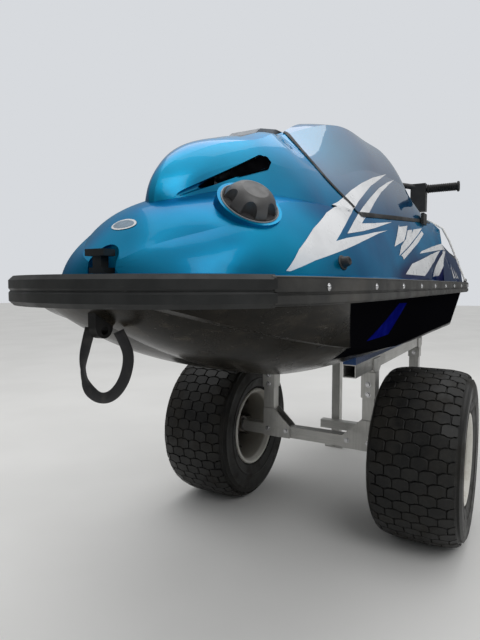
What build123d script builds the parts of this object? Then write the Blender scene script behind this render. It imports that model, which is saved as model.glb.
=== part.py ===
"""Stand-up personal watercraft on its two-wheeled beach cart.

Frame: +X to the bow, +Y to port, +Z up, origin on the ground under the middle. Millimetres.
"""
import math
import os

from build123d import *

os.makedirs("parts", exist_ok=True)

# Craft, overall
LENGTH = 2310
BEAM = 730
BOW_X = LENGTH / 2
STERN_X = -LENGTH / 2
HALF_BEAM = BEAM / 2
BOND_Z = 800
TRANSOM_X = STERN_X + 34
HULL_WALL = 26
HULL_BAY_REAR = -300
SEAM_GAP = 3

# Plan outline of the rubbing strip: one bow arc, one long side arc, then straight
BOW_RADIUS = 345
BOW_TURN = 84
SIDE_TURN = 6
RAIL_DEPTH = 24
BUMPER_END_X = 975
BUMPER_Z = (774, 828)
RAIL_Z = (776, 826)

# Hull below the bond line: x, keel z, bottom bulge, chine y, chine z, ledge width, bond y
HULL_STATIONS = (
    (1095, 777, 3, 92, 784, 14, 165),
    (1040, 742, 8, 138, 764, 24, 214),
    (925, 689, 19, 194, 732, 20, 279),
    (770, 636, 24, 240, 699, 13, 317),
    (585, 589, 22, 261, 668, 11, 329),
    (365, 547, 14, 274, 640, 10, 336),
    (115, 531, 7, 279, 621, 10, 339),
    (-155, 529, 2, 280, 614, 10, 340),
    (-455, 529, 1, 280, 612, 10, 340),
    (-775, 530, 1, 280, 610, 10, 340),
    (TRANSOM_X, 532, 1, 276, 606, 10, 340),
)

# Deck above the bond line: x, bond y, foot y, side bulge, shoulder y, shoulder z, crown z
DECK_FOOT_Z = 831
DECK_STATIONS = (
    (1052, 205, 40, 1, 20, 848, 853),
    (1018, 233, 135, 6, 80, 877, 894),
    (970, 262, 190, 12, 122, 897, 943),
    (900, 294, 231, 14, 177, 923, 979),
    (805, 313, 270, 14, 200, 962, 1011),
    (690, 324, 300, 14, 218, 987, 1027),
    (540, 332, 325, 8, 255, 989, 1029),
    (340, 337, 333, 6, 273, 996, 1035),
    (80, 339, 335, 6, 280, 1021, 1055),
    (-220, 340, 338, 6, 286, 1052, 1072),
    (-505, 340, 338, 4, 316, 1036, 1052),
)
GUNWALE_STATIONS = (
    (-500, 340, 324, 980),
    (-790, 340, 324, 948),
    (TRANSOM_X, 340, 320, 932),
)
DECK_FLANGE_TOP = 826

# Hollows under the deck, and the niche behind the bow latch
ENGINE_BAY_X = (-360, 420)
NOSE_BAY_X = (419, 800)
NOSE_BAY_TOP = 930
NICHE_X = (1018, 1080)
NICHE_RADIUS = 33
NICHE_ARCH_Z = 850

# Hood seam in side view: a wave down from the crown, then a straight seat that rises aft
SEAM_WAVE = ((430, 1240), (470, 1135), (483, 1085), (470, 1040), (446, 1004), (437, 992), (418, 988))
HOOD_REAR = (-400, 1058)

# Front cowl and hood, one flowing cover: x, foot y, foot z, bulge, waist y, waist z, bulge,
# ridge y, ridge z, crown z
COVER_STATIONS = (
    (917, 8, 950, 0, 7, 966, 0, 4, 972, 973),
    (905, 22, 952, 1, 20, 988, 2, 8, 1018, 1020),
    (881, 46, 958, 2, 40, 1002, 4, 12, 1048, 1052),
    (840, 66, 968, 2, 58, 1028, 4, 28, 1076, 1086),
    (784, 90, 985, 2, 78, 1055, 3, 48, 1104, 1118),
    (713, 140, 990, -3, 104, 1080, 2, 72, 1128, 1144),
    (640, 200, 978, -4, 138, 1084, 2, 92, 1148, 1168),
    (560, 240, 974, 0, 168, 1088, 2, 88, 1180, 1196),
    (452, 272, 978, 4, 195, 1087, 3, 70, 1208, 1224),
    (330, 279, 988, 5, 216, 1118, 6, 118, 1256, 1274),
    (180, 284, 1001, 5, 232, 1145, 8, 162, 1272, 1289),
    (0, 288, 1016, 5, 242, 1155, 8, 180, 1268, 1285),
    (-180, 292, 1032, 5, 248, 1145, 8, 187, 1240, 1255),
    (-320, 293, 1044, 4, 252, 1110, 5, 180, 1172, 1184),
    (-400, 291, 1051, 2, 262, 1078, 3, 190, 1100, 1107),
)
COVER_WALL = 12

# Cowl scoops: tip and mouth of a widening channel, x, y, z, radius
SCOOP_TIP = (892, 42, 986, 4)
SCOOP_MOUTH = (672, 113, 1084, 18)
DUCT_RADIUS = 13

# Handle pole: pivot in the cowl, steering axis at the rear end
POLE_PIVOT = (560, 1118)
POLE_END = (-470, 1190)
POLE_HALF_WIDTH = 42
POLE_HALF_HEIGHT = 29
POLE_EYE_RADIUS = 32
POLE_TOP = ((588, 1158), (566, 1188), (538, 1206), (450, 1226), (300, 1236), (0, 1240), (-300, 1232))
POLE_PIN_RADIUS = 10
GROOVE_HALF_WIDTH = 56
GROOVE_DROP = 48
POLE_SLOT_FRONT = 662
STEER_X = -510
STEER_PIN_RADIUS = 11
GRIP_Z = 1212
GRIP_X = -556
GRIP_Y = (256, 380)
RUNNING_FIT = 0.06

# Rider's tray
TRAY_FRONT_X = -468
TRAY_FLOOR_Z = 862
TRAY_HALF_FLOOR = 226
TRAY_HALF_TOP = 286

# Jet pump
PUMP_Z = 655
PUMP_RADIUS = 80
PUMP_BORE = 71
PUMP_FRONT_X = -700
PUMP_REAR_X = -900
OUTLET_X = -1000
OUTLET_RADIUS = 44
NOZZLE_INNER = 62
NOZZLE_OUTER = 68
INTAKE_FRONT_X = -330
INTAKE_HALF_WIDTH = 70
SHAFT_RADIUS = 12
IMPELLER_RADIUS = 65

# Beach cart
AXLE_X = 11
AXLE_Z = 272.5
TYRE_RADIUS = 272.5
TYRE_WIDTH = 265
WHEEL_Y = 374
RIM_RADIUS = 127
FLANGE_RADIUS = 140
AXLE_RADIUS = 12.5
BUNK_Y = 186
BEAM_END_Y = 297
BUNK_SIDE = 40
BUNK_TOP_Z = 574
BUNK_X = (-800, 240)
REAR_POST_X = -735
REAR_TUBE_TOP = 138
WHEELS = (("port", 1), ("starboard", -1))

nodes = {}


def add(name, *solids):
    nodes[name] = list(solids)


def box(x, y, z):
    """Box from its low and high values along each axis."""
    size = [pair[1] - pair[0] for pair in (x, y, z)]
    centre = [(pair[1] + pair[0]) / 2 for pair in (x, y, z)]
    return Pos(*centre) * Box(*size)


def rod(start, end, radius):
    """Round bar between two points."""
    a, b = Vector(*start), Vector(*end)
    return Plane(origin=a, z_dir=b - a) * extrude(Circle(radius), (b - a).length)


def side_prism(points, low_y, high_y):
    """Prism across the craft with an outline of x, z points."""
    face = make_face(Polyline(*[(x, 0, z) for x, z in points], close=True))
    return extrude(Pos(0, low_y, 0) * face, high_y - low_y, dir=(0, 1, 0))


def long_prism(points, low_x, high_x):
    """Prism along the craft with an outline of y, z points."""
    face = make_face(Polyline(*[(0, y, z) for y, z in points], close=True))
    return extrude(Pos(low_x, 0, 0) * face, high_x - low_x, dir=(1, 0, 0))


def spin(points, axis):
    """Solid of revolution; points are radius, height along Z, then laid on the given axis."""
    face = make_face(Polyline(*[(r, 0, h) for r, h in points], close=True))
    turned = revolve(face, Axis.Z, 360)
    if axis == "X":
        return Rot(0, 90, 0) * turned
    if axis == "Y":
        return Rot(-90, 0, 0) * turned
    return turned


def bowed(a, b, bulge):
    """Edge between two points of one cross-section, bowed outwards by the bulge."""
    a, b = Vector(*a), Vector(*b)
    if bulge == 0:
        return Edge.make_line(a, b)
    run = b - a
    out = Vector(0, run.Z, -run.Y).normalized()
    return Edge.make_three_point_arc(a, (a + b) / 2 + out * bulge, b)


def section(x, side, crown):
    """Closed cross-section: port side points y, z, bulge from the foot up, then a crown arc."""
    port = [(x, y, z) for y, z, _ in side]
    starboard = [(x, -y, z) for y, z, _ in side]
    bulges = [bulge for _, _, bulge in side[:-1]]
    edges = [bowed(a, b, bulge) for a, b, bulge in zip(port, port[1:], bulges)]
    edges.append(Edge.make_three_point_arc(port[-1], (x, 0, crown), starboard[-1]))
    for a, b, bulge in reversed(list(zip(starboard, starboard[1:], bulges))):
        edges.append(bowed(b, a, bulge))
    edges.append(Edge.make_line(starboard[0], port[0]))
    return Wire(edges)


def plan_face(inset, stern_x):
    """Plan outline of the craft, set in from the rubbing strip's outer face."""
    radius = BOW_RADIUS - inset
    heading = math.radians(90 + BOW_TURN)
    bow_end = (BOW_X - BOW_RADIUS + radius * math.sin(heading), -radius * math.cos(heading))
    side_radius = (HALF_BEAM - BOW_RADIUS * -math.cos(heading)) / (1 + math.cos(heading)) - inset
    mid_heading = math.radians(45 + 90)
    mid = (BOW_X - BOW_RADIUS + radius * math.sin(mid_heading), -radius * math.cos(mid_heading))
    side_end = (bow_end[0] - side_radius * math.sin(heading), HALF_BEAM - inset)
    half_heading = math.radians(90 + BOW_TURN + SIDE_TURN / 2)
    side_mid = (bow_end[0] + side_radius * (math.sin(half_heading) - math.sin(heading)),
                bow_end[1] + side_radius * (math.cos(heading) - math.cos(half_heading)))
    bow = (BOW_X - inset, 0)
    port = [
        ThreePointArc(bow, mid, bow_end),
        ThreePointArc(bow_end, side_mid, side_end),
        Line(side_end, (stern_x, HALF_BEAM - inset)),
    ]
    starboard = [mirror(edge, Plane.XZ) for edge in port]
    stern = Line((stern_x, HALF_BEAM - inset), (stern_x, inset - HALF_BEAM))
    return make_face(port + starboard + [stern])


def slab(inset, low_z, high_z, stern_x=TRANSOM_X):
    return Pos(0, 0, low_z) * extrude(plan_face(inset, stern_x), high_z - low_z)


def hull_wire(x, keel, bulge, chine_y, chine_z, ledge, bond_y, inset=0):
    """Cross-section of the hull: bowed bottom, narrow spray ledge at the chine, straight side."""
    lift = inset * 0.6
    port = [
        (x, 0, keel + inset),
        (x, chine_y - inset, chine_z + lift),
        (x, chine_y + ledge - inset, chine_z + lift + 2),
        (x, bond_y - inset, BOND_Z),
    ]
    starboard = [(x, -y, z) for _, y, z in port]
    edges = [bowed(port[0], port[1], bulge), Edge.make_line(port[1], port[2])]
    edges += [Edge.make_line(port[2], port[3]), Edge.make_line(port[3], starboard[3])]
    edges += [Edge.make_line(starboard[3], starboard[2]), Edge.make_line(starboard[2], starboard[1])]
    edges.append(bowed(starboard[1], starboard[0], bulge))
    return Wire(edges)


# Hull
hull = Solid.make_loft([hull_wire(*row) for row in HULL_STATIONS]) & slab(RAIL_DEPTH, 400, BOND_Z)
hull += slab(RAIL_DEPTH, BUMPER_Z[0], BOND_Z)
bay = Solid.make_loft([hull_wire(*row, inset=HULL_WALL) for row in HULL_STATIONS[1:9]], ruled=True)
hull -= bay & box((HULL_BAY_REAR, BOW_X), (-HALF_BEAM, HALF_BEAM), (500, BOND_Z))
intake = [(INTAKE_FRONT_X, 480), (INTAKE_FRONT_X, 548), (PUMP_FRONT_X, 735), (PUMP_FRONT_X, 480)]
hull -= side_prism(intake, -INTAKE_HALF_WIDTH, INTAKE_HALF_WIDTH)
hull -= box((STERN_X - 20, PUMP_FRONT_X), (-120, 120), (480, 748))
hull -= rod((PUMP_FRONT_X, 0, PUMP_Z), (-460, 0, PUMP_Z), SHAFT_RADIUS + 6)
add("hull", hull)


# Deck with the rider's tray
def deck_wire(x, bond_y, foot_y, bulge, shoulder_y, shoulder_z, crown):
    side = [
        (bond_y, BOND_Z, 0),
        (bond_y, DECK_FLANGE_TOP, 0),
        (foot_y, DECK_FOOT_Z, bulge),
        (shoulder_y, shoulder_z, 0),
    ]
    return section(x, side, crown)


def gunwale_wire(x, bond_y, top_y, top_z):
    points = [(bond_y, BOND_Z), (bond_y, DECK_FLANGE_TOP), (top_y, top_z)]
    points += [(-y, z) for y, z in reversed(points)]
    return Wire.make_polygon([(x, y, z) for y, z in points], close=True)


def hood_room():
    """Space above the seam: the wave in front, the seat below, open to the top and the stern."""
    wave = [(x, 0, z) for x, z in SEAM_WAVE]
    top = (wave[0][0], 0, 1500)
    rear_top, rear = (-700, 0, 1500), (-700, 0, HOOD_REAR[1])
    edges = [Line(rear, rear_top), Line(rear_top, top), Line(top, wave[0])]
    edges += [ThreePointArc(*wave[start:start + 3]) for start in (0, 2, 4)]
    seat_end = (HOOD_REAR[0], 0, HOOD_REAR[1])
    edges += [Line(wave[-1], seat_end), Line(seat_end, rear)]
    return extrude(Pos(0, -400, 0) * make_face(edges), 800, dir=(0, 1, 0))


seam_room = hood_room()
opened_room = Pos(SEAM_GAP, 0, -SEAM_GAP) * seam_room
deck_outer = Solid.make_loft([deck_wire(*row) for row in DECK_STATIONS]) & slab(RAIL_DEPTH, BOND_Z, 1300)
deck = deck_outer + slab(RAIL_DEPTH, BOND_Z, DECK_FLANGE_TOP) - opened_room
deck += Solid.make_loft([gunwale_wire(*row) for row in GUNWALE_STATIONS])
deck -= box(ENGINE_BAY_X, (-225, 225), (BOND_Z - 1, 1200))
deck -= box(NOSE_BAY_X, (-185, 185), (BOND_Z - 1, NOSE_BAY_TOP))
niche = box(NICHE_X, (-NICHE_RADIUS, NICHE_RADIUS), (DECK_FOOT_Z, NICHE_ARCH_Z))
niche += rod((NICHE_X[0], 0, NICHE_ARCH_Z), (NICHE_X[1], 0, NICHE_ARCH_Z), NICHE_RADIUS)
deck -= niche
tray_side = [
    (TRAY_HALF_FLOOR, TRAY_FLOOR_Z), (TRAY_HALF_TOP, 1200),
    (-TRAY_HALF_TOP, 1200), (-TRAY_HALF_FLOOR, TRAY_FLOOR_Z),
]
deck -= long_prism(tray_side, STERN_X - 50, TRAY_FRONT_X)
add("deck", deck)

# Rubbing strips and bow bumper
bow_centre = BOW_X - BOW_RADIUS
half_turn = math.degrees(math.acos((BUMPER_END_X - bow_centre) / BOW_RADIUS))
inner = BOW_RADIUS - RAIL_DEPTH
bumper_mid = (BUMPER_Z[0] + BUMPER_Z[1]) / 2
bumper_outline = [
    (inner, BUMPER_Z[0]), (BOW_RADIUS - 8, BUMPER_Z[0]), (BOW_RADIUS, BUMPER_Z[0] + 8),
    (BOW_RADIUS, bumper_mid - 4), (BOW_RADIUS - 3, bumper_mid), (BOW_RADIUS, bumper_mid + 4),
    (BOW_RADIUS, BUMPER_Z[1] - 8), (BOW_RADIUS - 8, BUMPER_Z[1]), (inner, BUMPER_Z[1]),
]
bumper_face = make_face(Polyline(*[(r, 0, z) for r, z in bumper_outline], close=True))
bumper = Rot(0, 0, -half_turn) * revolve(bumper_face, Axis.Z, 2 * half_turn)
add("bow_bumper", Pos(bow_centre, 0, 0) * bumper)

strip = Pos(0, 0, RAIL_Z[0]) * extrude(
    plan_face(4, STERN_X) - plan_face(RAIL_DEPTH, STERN_X - 40), RAIL_Z[1] - RAIL_Z[0])
for low_z, high_z in ((780, 794), (800, 822)):
    strip += Pos(0, 0, low_z) * extrude(
        plan_face(0, STERN_X) - plan_face(RAIL_DEPTH, STERN_X - 40), high_z - low_z)
for name, side in WHEELS:
    ends = sorted((side * 500, side * 10))
    rail = (strip & box((STERN_X - 5, BUMPER_END_X + 40), ends, (700, 900))) - nodes["bow_bumper"][0]
    rail -= box((BUMPER_END_X + 4, 1200), (-500, 500), (700, 900))
    add("rail_" + name, max(rail.solids(), key=lambda s: s.volume))


# Front cowl over the pole's pivot
def cover_wire(x, foot_y, foot_z, foot_bulge, waist_y, waist_z, waist_bulge, ridge_y, ridge_z, crown,
               inset=0):
    side = [
        (foot_y - inset, foot_z, foot_bulge),
        (waist_y - inset, waist_z - inset * 0.4, waist_bulge),
        (ridge_y - inset * 0.6, ridge_z - inset, 0),
    ]
    return section(x, side, crown - inset)


def scoop(side):
    """Widening channel along the cowl's flank, with a duct that leads inwards at its mouth."""
    tip = Vector(SCOOP_TIP[0], side * SCOOP_TIP[1], SCOOP_TIP[2])
    mouth = Vector(SCOOP_MOUTH[0], side * SCOOP_MOUTH[1], SCOOP_MOUTH[2])
    run = mouth - tip
    channel = Plane(origin=tip, z_dir=run) * Cone(
        SCOOP_TIP[3], SCOOP_MOUTH[3], run.length, align=(Align.CENTER, Align.CENTER, Align.MIN))
    channel += Pos(mouth) * Sphere(SCOOP_MOUTH[3])
    duct_start = mouth - run * 0.3
    inwards = Vector(0, -side * DUCT_RADIUS, 0)
    return channel + rod(duct_start + inwards, mouth + inwards, DUCT_RADIUS)


cover_outer = Solid.make_loft([cover_wire(*row) for row in COVER_STATIONS])
cover_inner = Solid.make_loft([cover_wire(*row, inset=COVER_WALL) for row in COVER_STATIONS[2:]])
cowl = (cover_outer - cover_inner - deck_outer - opened_room) & box((415, 950), (-350, 350), (940, 1300))
cowl -= box((400, POLE_SLOT_FRONT), (-GROOVE_HALF_WIDTH, GROOVE_HALF_WIDTH), (900, 1300))
for side in (1, -1):
    cowl -= scoop(side)
add("cowl", max(cowl.solids(), key=lambda s: s.volume))


# Rear hood with the pole's groove along its top
def pole_z(x):
    (x0, z0), (x1, z1) = POLE_PIVOT, POLE_END
    return z0 + (z1 - z0) * (x - x0) / (x1 - x0)


def groove(drop, half_width):
    floor = [(x, pole_z(x) - drop) for x in (560, -460)]
    return side_prism([*floor, (-460, 1400), (560, 1400)], -half_width, half_width)


hood_inner = cover_inner & box((HOOD_REAR[0] + COVER_WALL, 560), (-400, 400), (900, 1400))
hood_inner -= groove(GROOVE_DROP + COVER_WALL, GROOVE_HALF_WIDTH + COVER_WALL)
hood = (cover_outer - groove(GROOVE_DROP, GROOVE_HALF_WIDTH) - hood_inner) & seam_room
add("hood", max(hood.solids(), key=lambda s: s.volume))

# Engine, one plain block on the hull's floor
add("engine", box((-230, 220), (-115, 115), (640, 930)))

# Pole bracket: two ears on a foot, and the pivot pin
px, pz = POLE_PIVOT
ear_y = (POLE_HALF_WIDTH + 5, POLE_HALF_WIDTH + 13)
ear_outline = [(px - 45, 1020), (px + 60, 1020), (px + 22, pz + 16), (px - 22, pz + 16)]
bracket = box((px - 60, px + 70), (-70, 70), (1000, 1050)) - deck
for side in (1, -1):
    low, high = sorted((side * ear_y[0], side * ear_y[1]))
    bracket += side_prism(ear_outline, low, high) - deck
bracket += rod((px, -ear_y[1] - 4, pz), (px, ear_y[1] + 4, pz), POLE_PIN_RADIUS)
add("pole_bracket", max(bracket.solids(), key=lambda s: s.volume))

# Handle pole: an arm with a padded hump over its round eye, and the steering housing at its rear end
arm_points = [
    (px + 22, pz + 24), *POLE_TOP, (POLE_END[0], POLE_END[1] + POLE_HALF_HEIGHT),
    (POLE_END[0], POLE_END[1] - POLE_HALF_HEIGHT), (px, pz - POLE_EYE_RADIUS + 3),
]
pole = side_prism(arm_points, -POLE_HALF_WIDTH, POLE_HALF_WIDTH)
pole += rod((px, -POLE_HALF_WIDTH, pz), (px, POLE_HALF_WIDTH, pz), POLE_EYE_RADIUS)
pole -= rod((px, -80, pz), (px, 80, pz), POLE_PIN_RADIUS + RUNNING_FIT)
add("handle_pole", pole)

housing_x = (STEER_X - 48, POLE_END[0])
housing = side_prism(
    [(housing_x[1], 1062), (housing_x[1], 1221), (housing_x[0], 1221), (housing_x[0], 1120),
     (housing_x[0] + 30, 1062)], -56, 56)
housing -= rod((STEER_X, 0, 1130), (STEER_X, 0, 1300), STEER_PIN_RADIUS + RUNNING_FIT)
add("steering_housing", housing)

# Handlebar on its stem
PLATE_Z = (1226, 1231)
BAR_RADIUS = 11
bar_centre = (STEER_X - 10, PLATE_Z[1] + BAR_RADIUS)
stem = rod((STEER_X, 0, 1136), (STEER_X, 0, PLATE_Z[0] + 1), STEER_PIN_RADIUS)
stem += box((STEER_X - 34, STEER_X + 26), (-52, 52), PLATE_Z)
add("steering_stem", stem)
bar_path = FilletPolyline(
    (GRIP_X, -GRIP_Y[1], GRIP_Z), (GRIP_X, -GRIP_Y[0], GRIP_Z), (bar_centre[0], -110, bar_centre[1]),
    (bar_centre[0], 110, bar_centre[1]), (GRIP_X, GRIP_Y[0], GRIP_Z), (GRIP_X, GRIP_Y[1], GRIP_Z),
    radius=60)
bar_start = Plane(origin=(GRIP_X, -GRIP_Y[1], GRIP_Z), z_dir=(0, 1, 0))
add("handlebar", sweep(bar_start * Circle(BAR_RADIUS), bar_path))
clamp_block = box((STEER_X - 32, STEER_X + 16), (-48, 48), (PLATE_Z[1], PLATE_Z[1] + 32))
bar_hole = rod((bar_centre[0], -60, bar_centre[1]), (bar_centre[0], 60, bar_centre[1]), BAR_RADIUS + 0.01)
add("bar_clamp", clamp_block - bar_hole)
for name, side in WHEELS:
    sleeve = rod((GRIP_X, side * GRIP_Y[0], GRIP_Z), (GRIP_X, side * GRIP_Y[1], GRIP_Z), 17)
    sleeve += rod((GRIP_X, side * (GRIP_Y[1] - 6), GRIP_Z), (GRIP_X, side * GRIP_Y[1], GRIP_Z), 21)
    add("grip_" + name, sleeve - nodes["handlebar"][0])
    control = box((GRIP_X - 22, GRIP_X + 22), sorted((side * 192, side * 252)), (GRIP_Z - 92, GRIP_Z + 22))
    add("control_" + name, control - nodes["handlebar"][0])

# Tray mat and gunwale pads
add("tray_mat", long_prism(
    [(-215, TRAY_FLOOR_Z), (215, TRAY_FLOOR_Z), (215, TRAY_FLOOR_Z + 10), (-215, TRAY_FLOOR_Z + 10)],
    TRANSOM_X, TRAY_FRONT_X - 6))
pad_rows = ((-500, 980 - 4.3), (-790, 948), (TRANSOM_X + 25, 933.2))
pads = []
for side in (1, -1):
    outline = [(x, z) for x, z in pad_rows] + [(x, z + 9) for x, z in reversed(pad_rows)]
    low, high = sorted((side * 292, side * 318))
    pads.append(side_prism(outline, low, high) - deck)
add("gunwale_pads", *pads)

# Fuel filler on the port shoulder: a rim set into the deck, and a cap with finger notches
cap_axis = Vector(0.36, 0.60, 0.71).normalized()
cap_plane = Plane(origin=(840, 176, 962), z_dir=cap_axis)
CAP_RADIUS = 53
CAP_TOP_RADIUS = 26
CAP_HEIGHT = 38
RIM_WIDTH = 13
RIM_DEPTH = 34
rim_outer = cap_plane * (Pos(0, 0, 6 - RIM_DEPTH) * extrude(Circle(CAP_RADIUS + RIM_WIDTH), RIM_DEPTH))
well = cap_plane * (Pos(0, 0, -8) * extrude(Circle(CAP_RADIUS + 3), 60))
deck = deck - rim_outer - cap_plane * extrude(Circle(CAP_RADIUS + RIM_WIDTH), 60)
nodes["cowl"] = [nodes["cowl"][0] - rim_outer]
add("deck", max(deck.solids(), key=lambda s: s.volume))
add("filler_ring", rim_outer - well)
flank = ThreePointArc((CAP_RADIUS, 0, 4), (45, 0, 25), (CAP_TOP_RADIUS, 0, CAP_HEIGHT))
cap_outline = [
    Line((0, 0, -8), (CAP_RADIUS, 0, -8)), Line((CAP_RADIUS, 0, -8), (CAP_RADIUS, 0, 4)), flank,
    Line((CAP_TOP_RADIUS, 0, CAP_HEIGHT), (0, 0, CAP_HEIGHT)), Line((0, 0, CAP_HEIGHT), (0, 0, -8)),
]
cap = revolve(make_face(cap_outline), Axis.Z, 360)
for turn in range(6):
    cap -= Rot(0, 0, turn * 60 + 8) * (Pos(CAP_RADIUS, 0, 6) * extrude(Circle(15), CAP_HEIGHT))
add("fuel_cap", cap_plane * cap)

# Bow latch, hood latches, side plugs
latch = box((1036, 1064), (-17, 17), (DECK_FOOT_Z, 841)) + box((1044, 1062), (-10, 10), (DECK_FOOT_Z, 866))
latch += box((1040, 1068), (-22, 22), (861, 873))
add("bow_latch", latch - deck)
latches = []
plugs = []
for side in (1, -1):
    latches.append(Pos(-250, side * 300, 1050) * Box(60, 10, 40) - deck_outer - hood)
    plug = rod((660, side * 300, 850), (660, side * 338, 862), 11)
    plugs.append(plug - deck_outer)
add("hood_latches", *latches)
add("side_plugs", *[max(p.solids(), key=lambda s: s.volume) for p in plugs])

# Jet pump, intake grate and ride plate
casing = spin([(PUMP_BORE, 0), (PUMP_RADIUS, 0), (PUMP_RADIUS, 200), (OUTLET_RADIUS, 256),
               (OUTLET_RADIUS, 300), (OUTLET_RADIUS - 5, 300), (OUTLET_RADIUS - 5, 256),
               (PUMP_BORE, 194)], "X")
casing = Pos(PUMP_FRONT_X, 0, PUMP_Z) * (Rot(0, 180, 0) * casing)
for side in (1, -1):
    arm = box((OUTLET_X - 14, PUMP_REAR_X + 30), (-14, 14),
              sorted((PUMP_Z + side * 74, PUMP_Z + side * 84)))
    casing += arm - rod((OUTLET_X, 0, PUMP_Z - 100), (OUTLET_X, 0, PUMP_Z + 100), 6 + RUNNING_FIT)
add("pump_casing", casing)

nozzle_shell = spin([(NOZZLE_INNER, -18), (NOZZLE_OUTER, -18), (NOZZLE_OUTER, 30), (52, 118),
                     (45, 118), (NOZZLE_INNER, 28)], "X")
nozzle_shell = Pos(OUTLET_X, 0, PUMP_Z) * (Rot(0, 180, 0) * nozzle_shell)
for side in (1, -1):
    nozzle_shell += rod((OUTLET_X, 0, PUMP_Z + side * 64), (OUTLET_X, 0, PUMP_Z + side * 84), 6)
add("nozzle", nozzle_shell)

impeller = rod((-860, 0, PUMP_Z), (-470, 0, PUMP_Z), SHAFT_RADIUS)
impeller += rod((-850, 0, PUMP_Z), (-740, 0, PUMP_Z), 27)
blade_root = Pos(0, 0, 22) * (Rot(0, 0, 35) * Rectangle(76, 8))
blade_tip = Pos(0, 0, 70) * (Rot(0, 0, 58) * Rectangle(104, 5))
blade = Solid.make_loft([blade_root.wire(), blade_tip.wire()], ruled=True)
blade &= rod((-60, 0, 0), (60, 0, 0), IMPELLER_RADIUS)
for turn in range(3):
    impeller += Pos(-795, 0, PUMP_Z) * (Rot(turn * 120, 0, 0) * blade)
add("impeller", impeller)

plate = [(-118, 566), (0, 539), (118, 566), (118, 574), (0, 547), (-118, 574)]
add("ride_plate", long_prism(plate, TRANSOM_X, PUMP_FRONT_X))
grate = box((PUMP_FRONT_X, INTAKE_FRONT_X - 10), (-INTAKE_HALF_WIDTH, INTAKE_HALF_WIDTH), (549, 556))
for low_y, high_y in ((-62, -36), (-30, -3), (3, 30), (36, 62)):
    grate -= box((PUMP_FRONT_X + 8, INTAKE_FRONT_X - 40), (low_y, high_y), (540, 560))
add("intake_grate", grate - hull)

# Transom fittings and bow eye
outlet = rod((TRANSOM_X, -200, 690), (TRANSOM_X - 20, -200, 690), 30)
outlet -= rod((TRANSOM_X - 6, -200, 690), (TRANSOM_X - 30, -200, 690), 22)
add("exhaust_outlet", outlet)
EYE_Y = 170
EYE_Z = 745
EYE_HALF_THICKNESS = 6
EYE_BORE = 7
eye_x = TRANSOM_X - 18
eyes = []
for side in (1, -1):
    near, far = sorted((side * EYE_Y - 26, side * EYE_Y + 26))
    eye = box((TRANSOM_X - 6, TRANSOM_X), (near, far), (EYE_Z - 18, EYE_Z + 18))
    y0, y1 = side * EYE_Y - EYE_HALF_THICKNESS, side * EYE_Y + EYE_HALF_THICKNESS
    eye += box((eye_x, TRANSOM_X), (y0, y1), (EYE_Z - 14, EYE_Z + 14))
    eye += rod((eye_x, y0, EYE_Z), (eye_x, y1, EYE_Z), 14)
    eyes.append(eye - rod((eye_x, y0 - 5, EYE_Z), (eye_x, y1 + 5, EYE_Z), EYE_BORE))
add("stern_eyes", *eyes)

bow_eye = box((1034, 1076), (-9, 9), (738, 790)) + rod((1055, -9, 738), (1055, 9, 738), 20)
bow_eye -= rod((1055, -20, 732), (1055, 20, 732), 8)
bow_eye -= hull
add("bow_eye", max(bow_eye.solids(), key=lambda s: s.volume))

# Strap that hangs from the bow eye
STRAP_WIDTH = 20
strap_route = [
    (1060, -20, 736), (1066, -26, 706), (1072, -30, 668), (1068, -26, 632), (1056, -10, 610),
    (1042, 10, 612), (1028, 26, 638), (1022, 34, 676), (1026, 32, 704), (1036, 23, 730),
]


def corner_radii(route):
    radii = []
    for before, here, after in zip(route, route[1:], route[2:]):
        a, b, c = Vector(*before), Vector(*here), Vector(*after)
        turn = math.radians((b - a).get_angle(c - b))
        run = min((b - a).length, (c - b).length)
        radii.append(0.45 * run / math.tan(turn / 2))
    return radii


strap_radii = corner_radii(strap_route)
print("strap radii", [round(r) for r in strap_radii])
strap_path = FilletPolyline(*strap_route, radius=strap_radii)
strap_start = Plane(origin=strap_route[0], z_dir=Vector(*strap_route[1]) - Vector(*strap_route[0]))
strap_tube = sweep(strap_start * Circle(STRAP_WIDTH / 2), strap_path)
add("strap", strap_tube)
print("strap length", round(strap_path.length), "volume ratio",
      round(strap_tube.volume / (math.pi * (STRAP_WIDTH / 2) ** 2 * strap_path.length), 3))

# Cart: square tubes, bolted together
def tube(x, y, z, wall=3):
    """Square tube, hollow along its longest side."""
    outer = box(x, y, z)
    spans = [pair[1] - pair[0] for pair in (x, y, z)]
    long = spans.index(max(spans))
    inner = [(pair[0] - 5, pair[1] + 5) if i == long else (pair[0] + wall, pair[1] - wall)
             for i, pair in enumerate((x, y, z))]
    return outer - box(*inner)


def both(make):
    """The same piece on the port and the starboard side."""
    return [make(1), make(-1)]


def across(side, low, high):
    return tuple(sorted((side * low, side * high)))


half = BUNK_SIDE / 2
bunk_bottom = BUNK_TOP_Z - BUNK_SIDE
inner_y, outer_y = BUNK_Y - half, BUNK_Y + half
beam_x = (AXLE_X - half, AXLE_X + half)
rear_x = (REAR_POST_X - half, REAR_POST_X + half)
add("axle_beam", tube(beam_x, (-BEAM_END_Y, BEAM_END_Y), (AXLE_Z - half, AXLE_Z + half)))
add("uprights", *both(lambda s: tube(beam_x, across(s, inner_y, outer_y), (AXLE_Z + half, bunk_bottom))))
add("rear_posts", *both(lambda s: tube(rear_x, across(s, inner_y, outer_y), (8, bunk_bottom))))
foot_x = (REAR_POST_X - 45, REAR_POST_X + 45)
add("feet", *both(lambda s: box(foot_x, across(s, BUNK_Y - 45, BUNK_Y + 45), (0, 8))))
add("rear_cross_tube", tube(
    (rear_x[1], rear_x[1] + BUNK_SIDE), (-250, 250), (REAR_TUBE_TOP - BUNK_SIDE, REAR_TUBE_TOP)))

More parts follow.
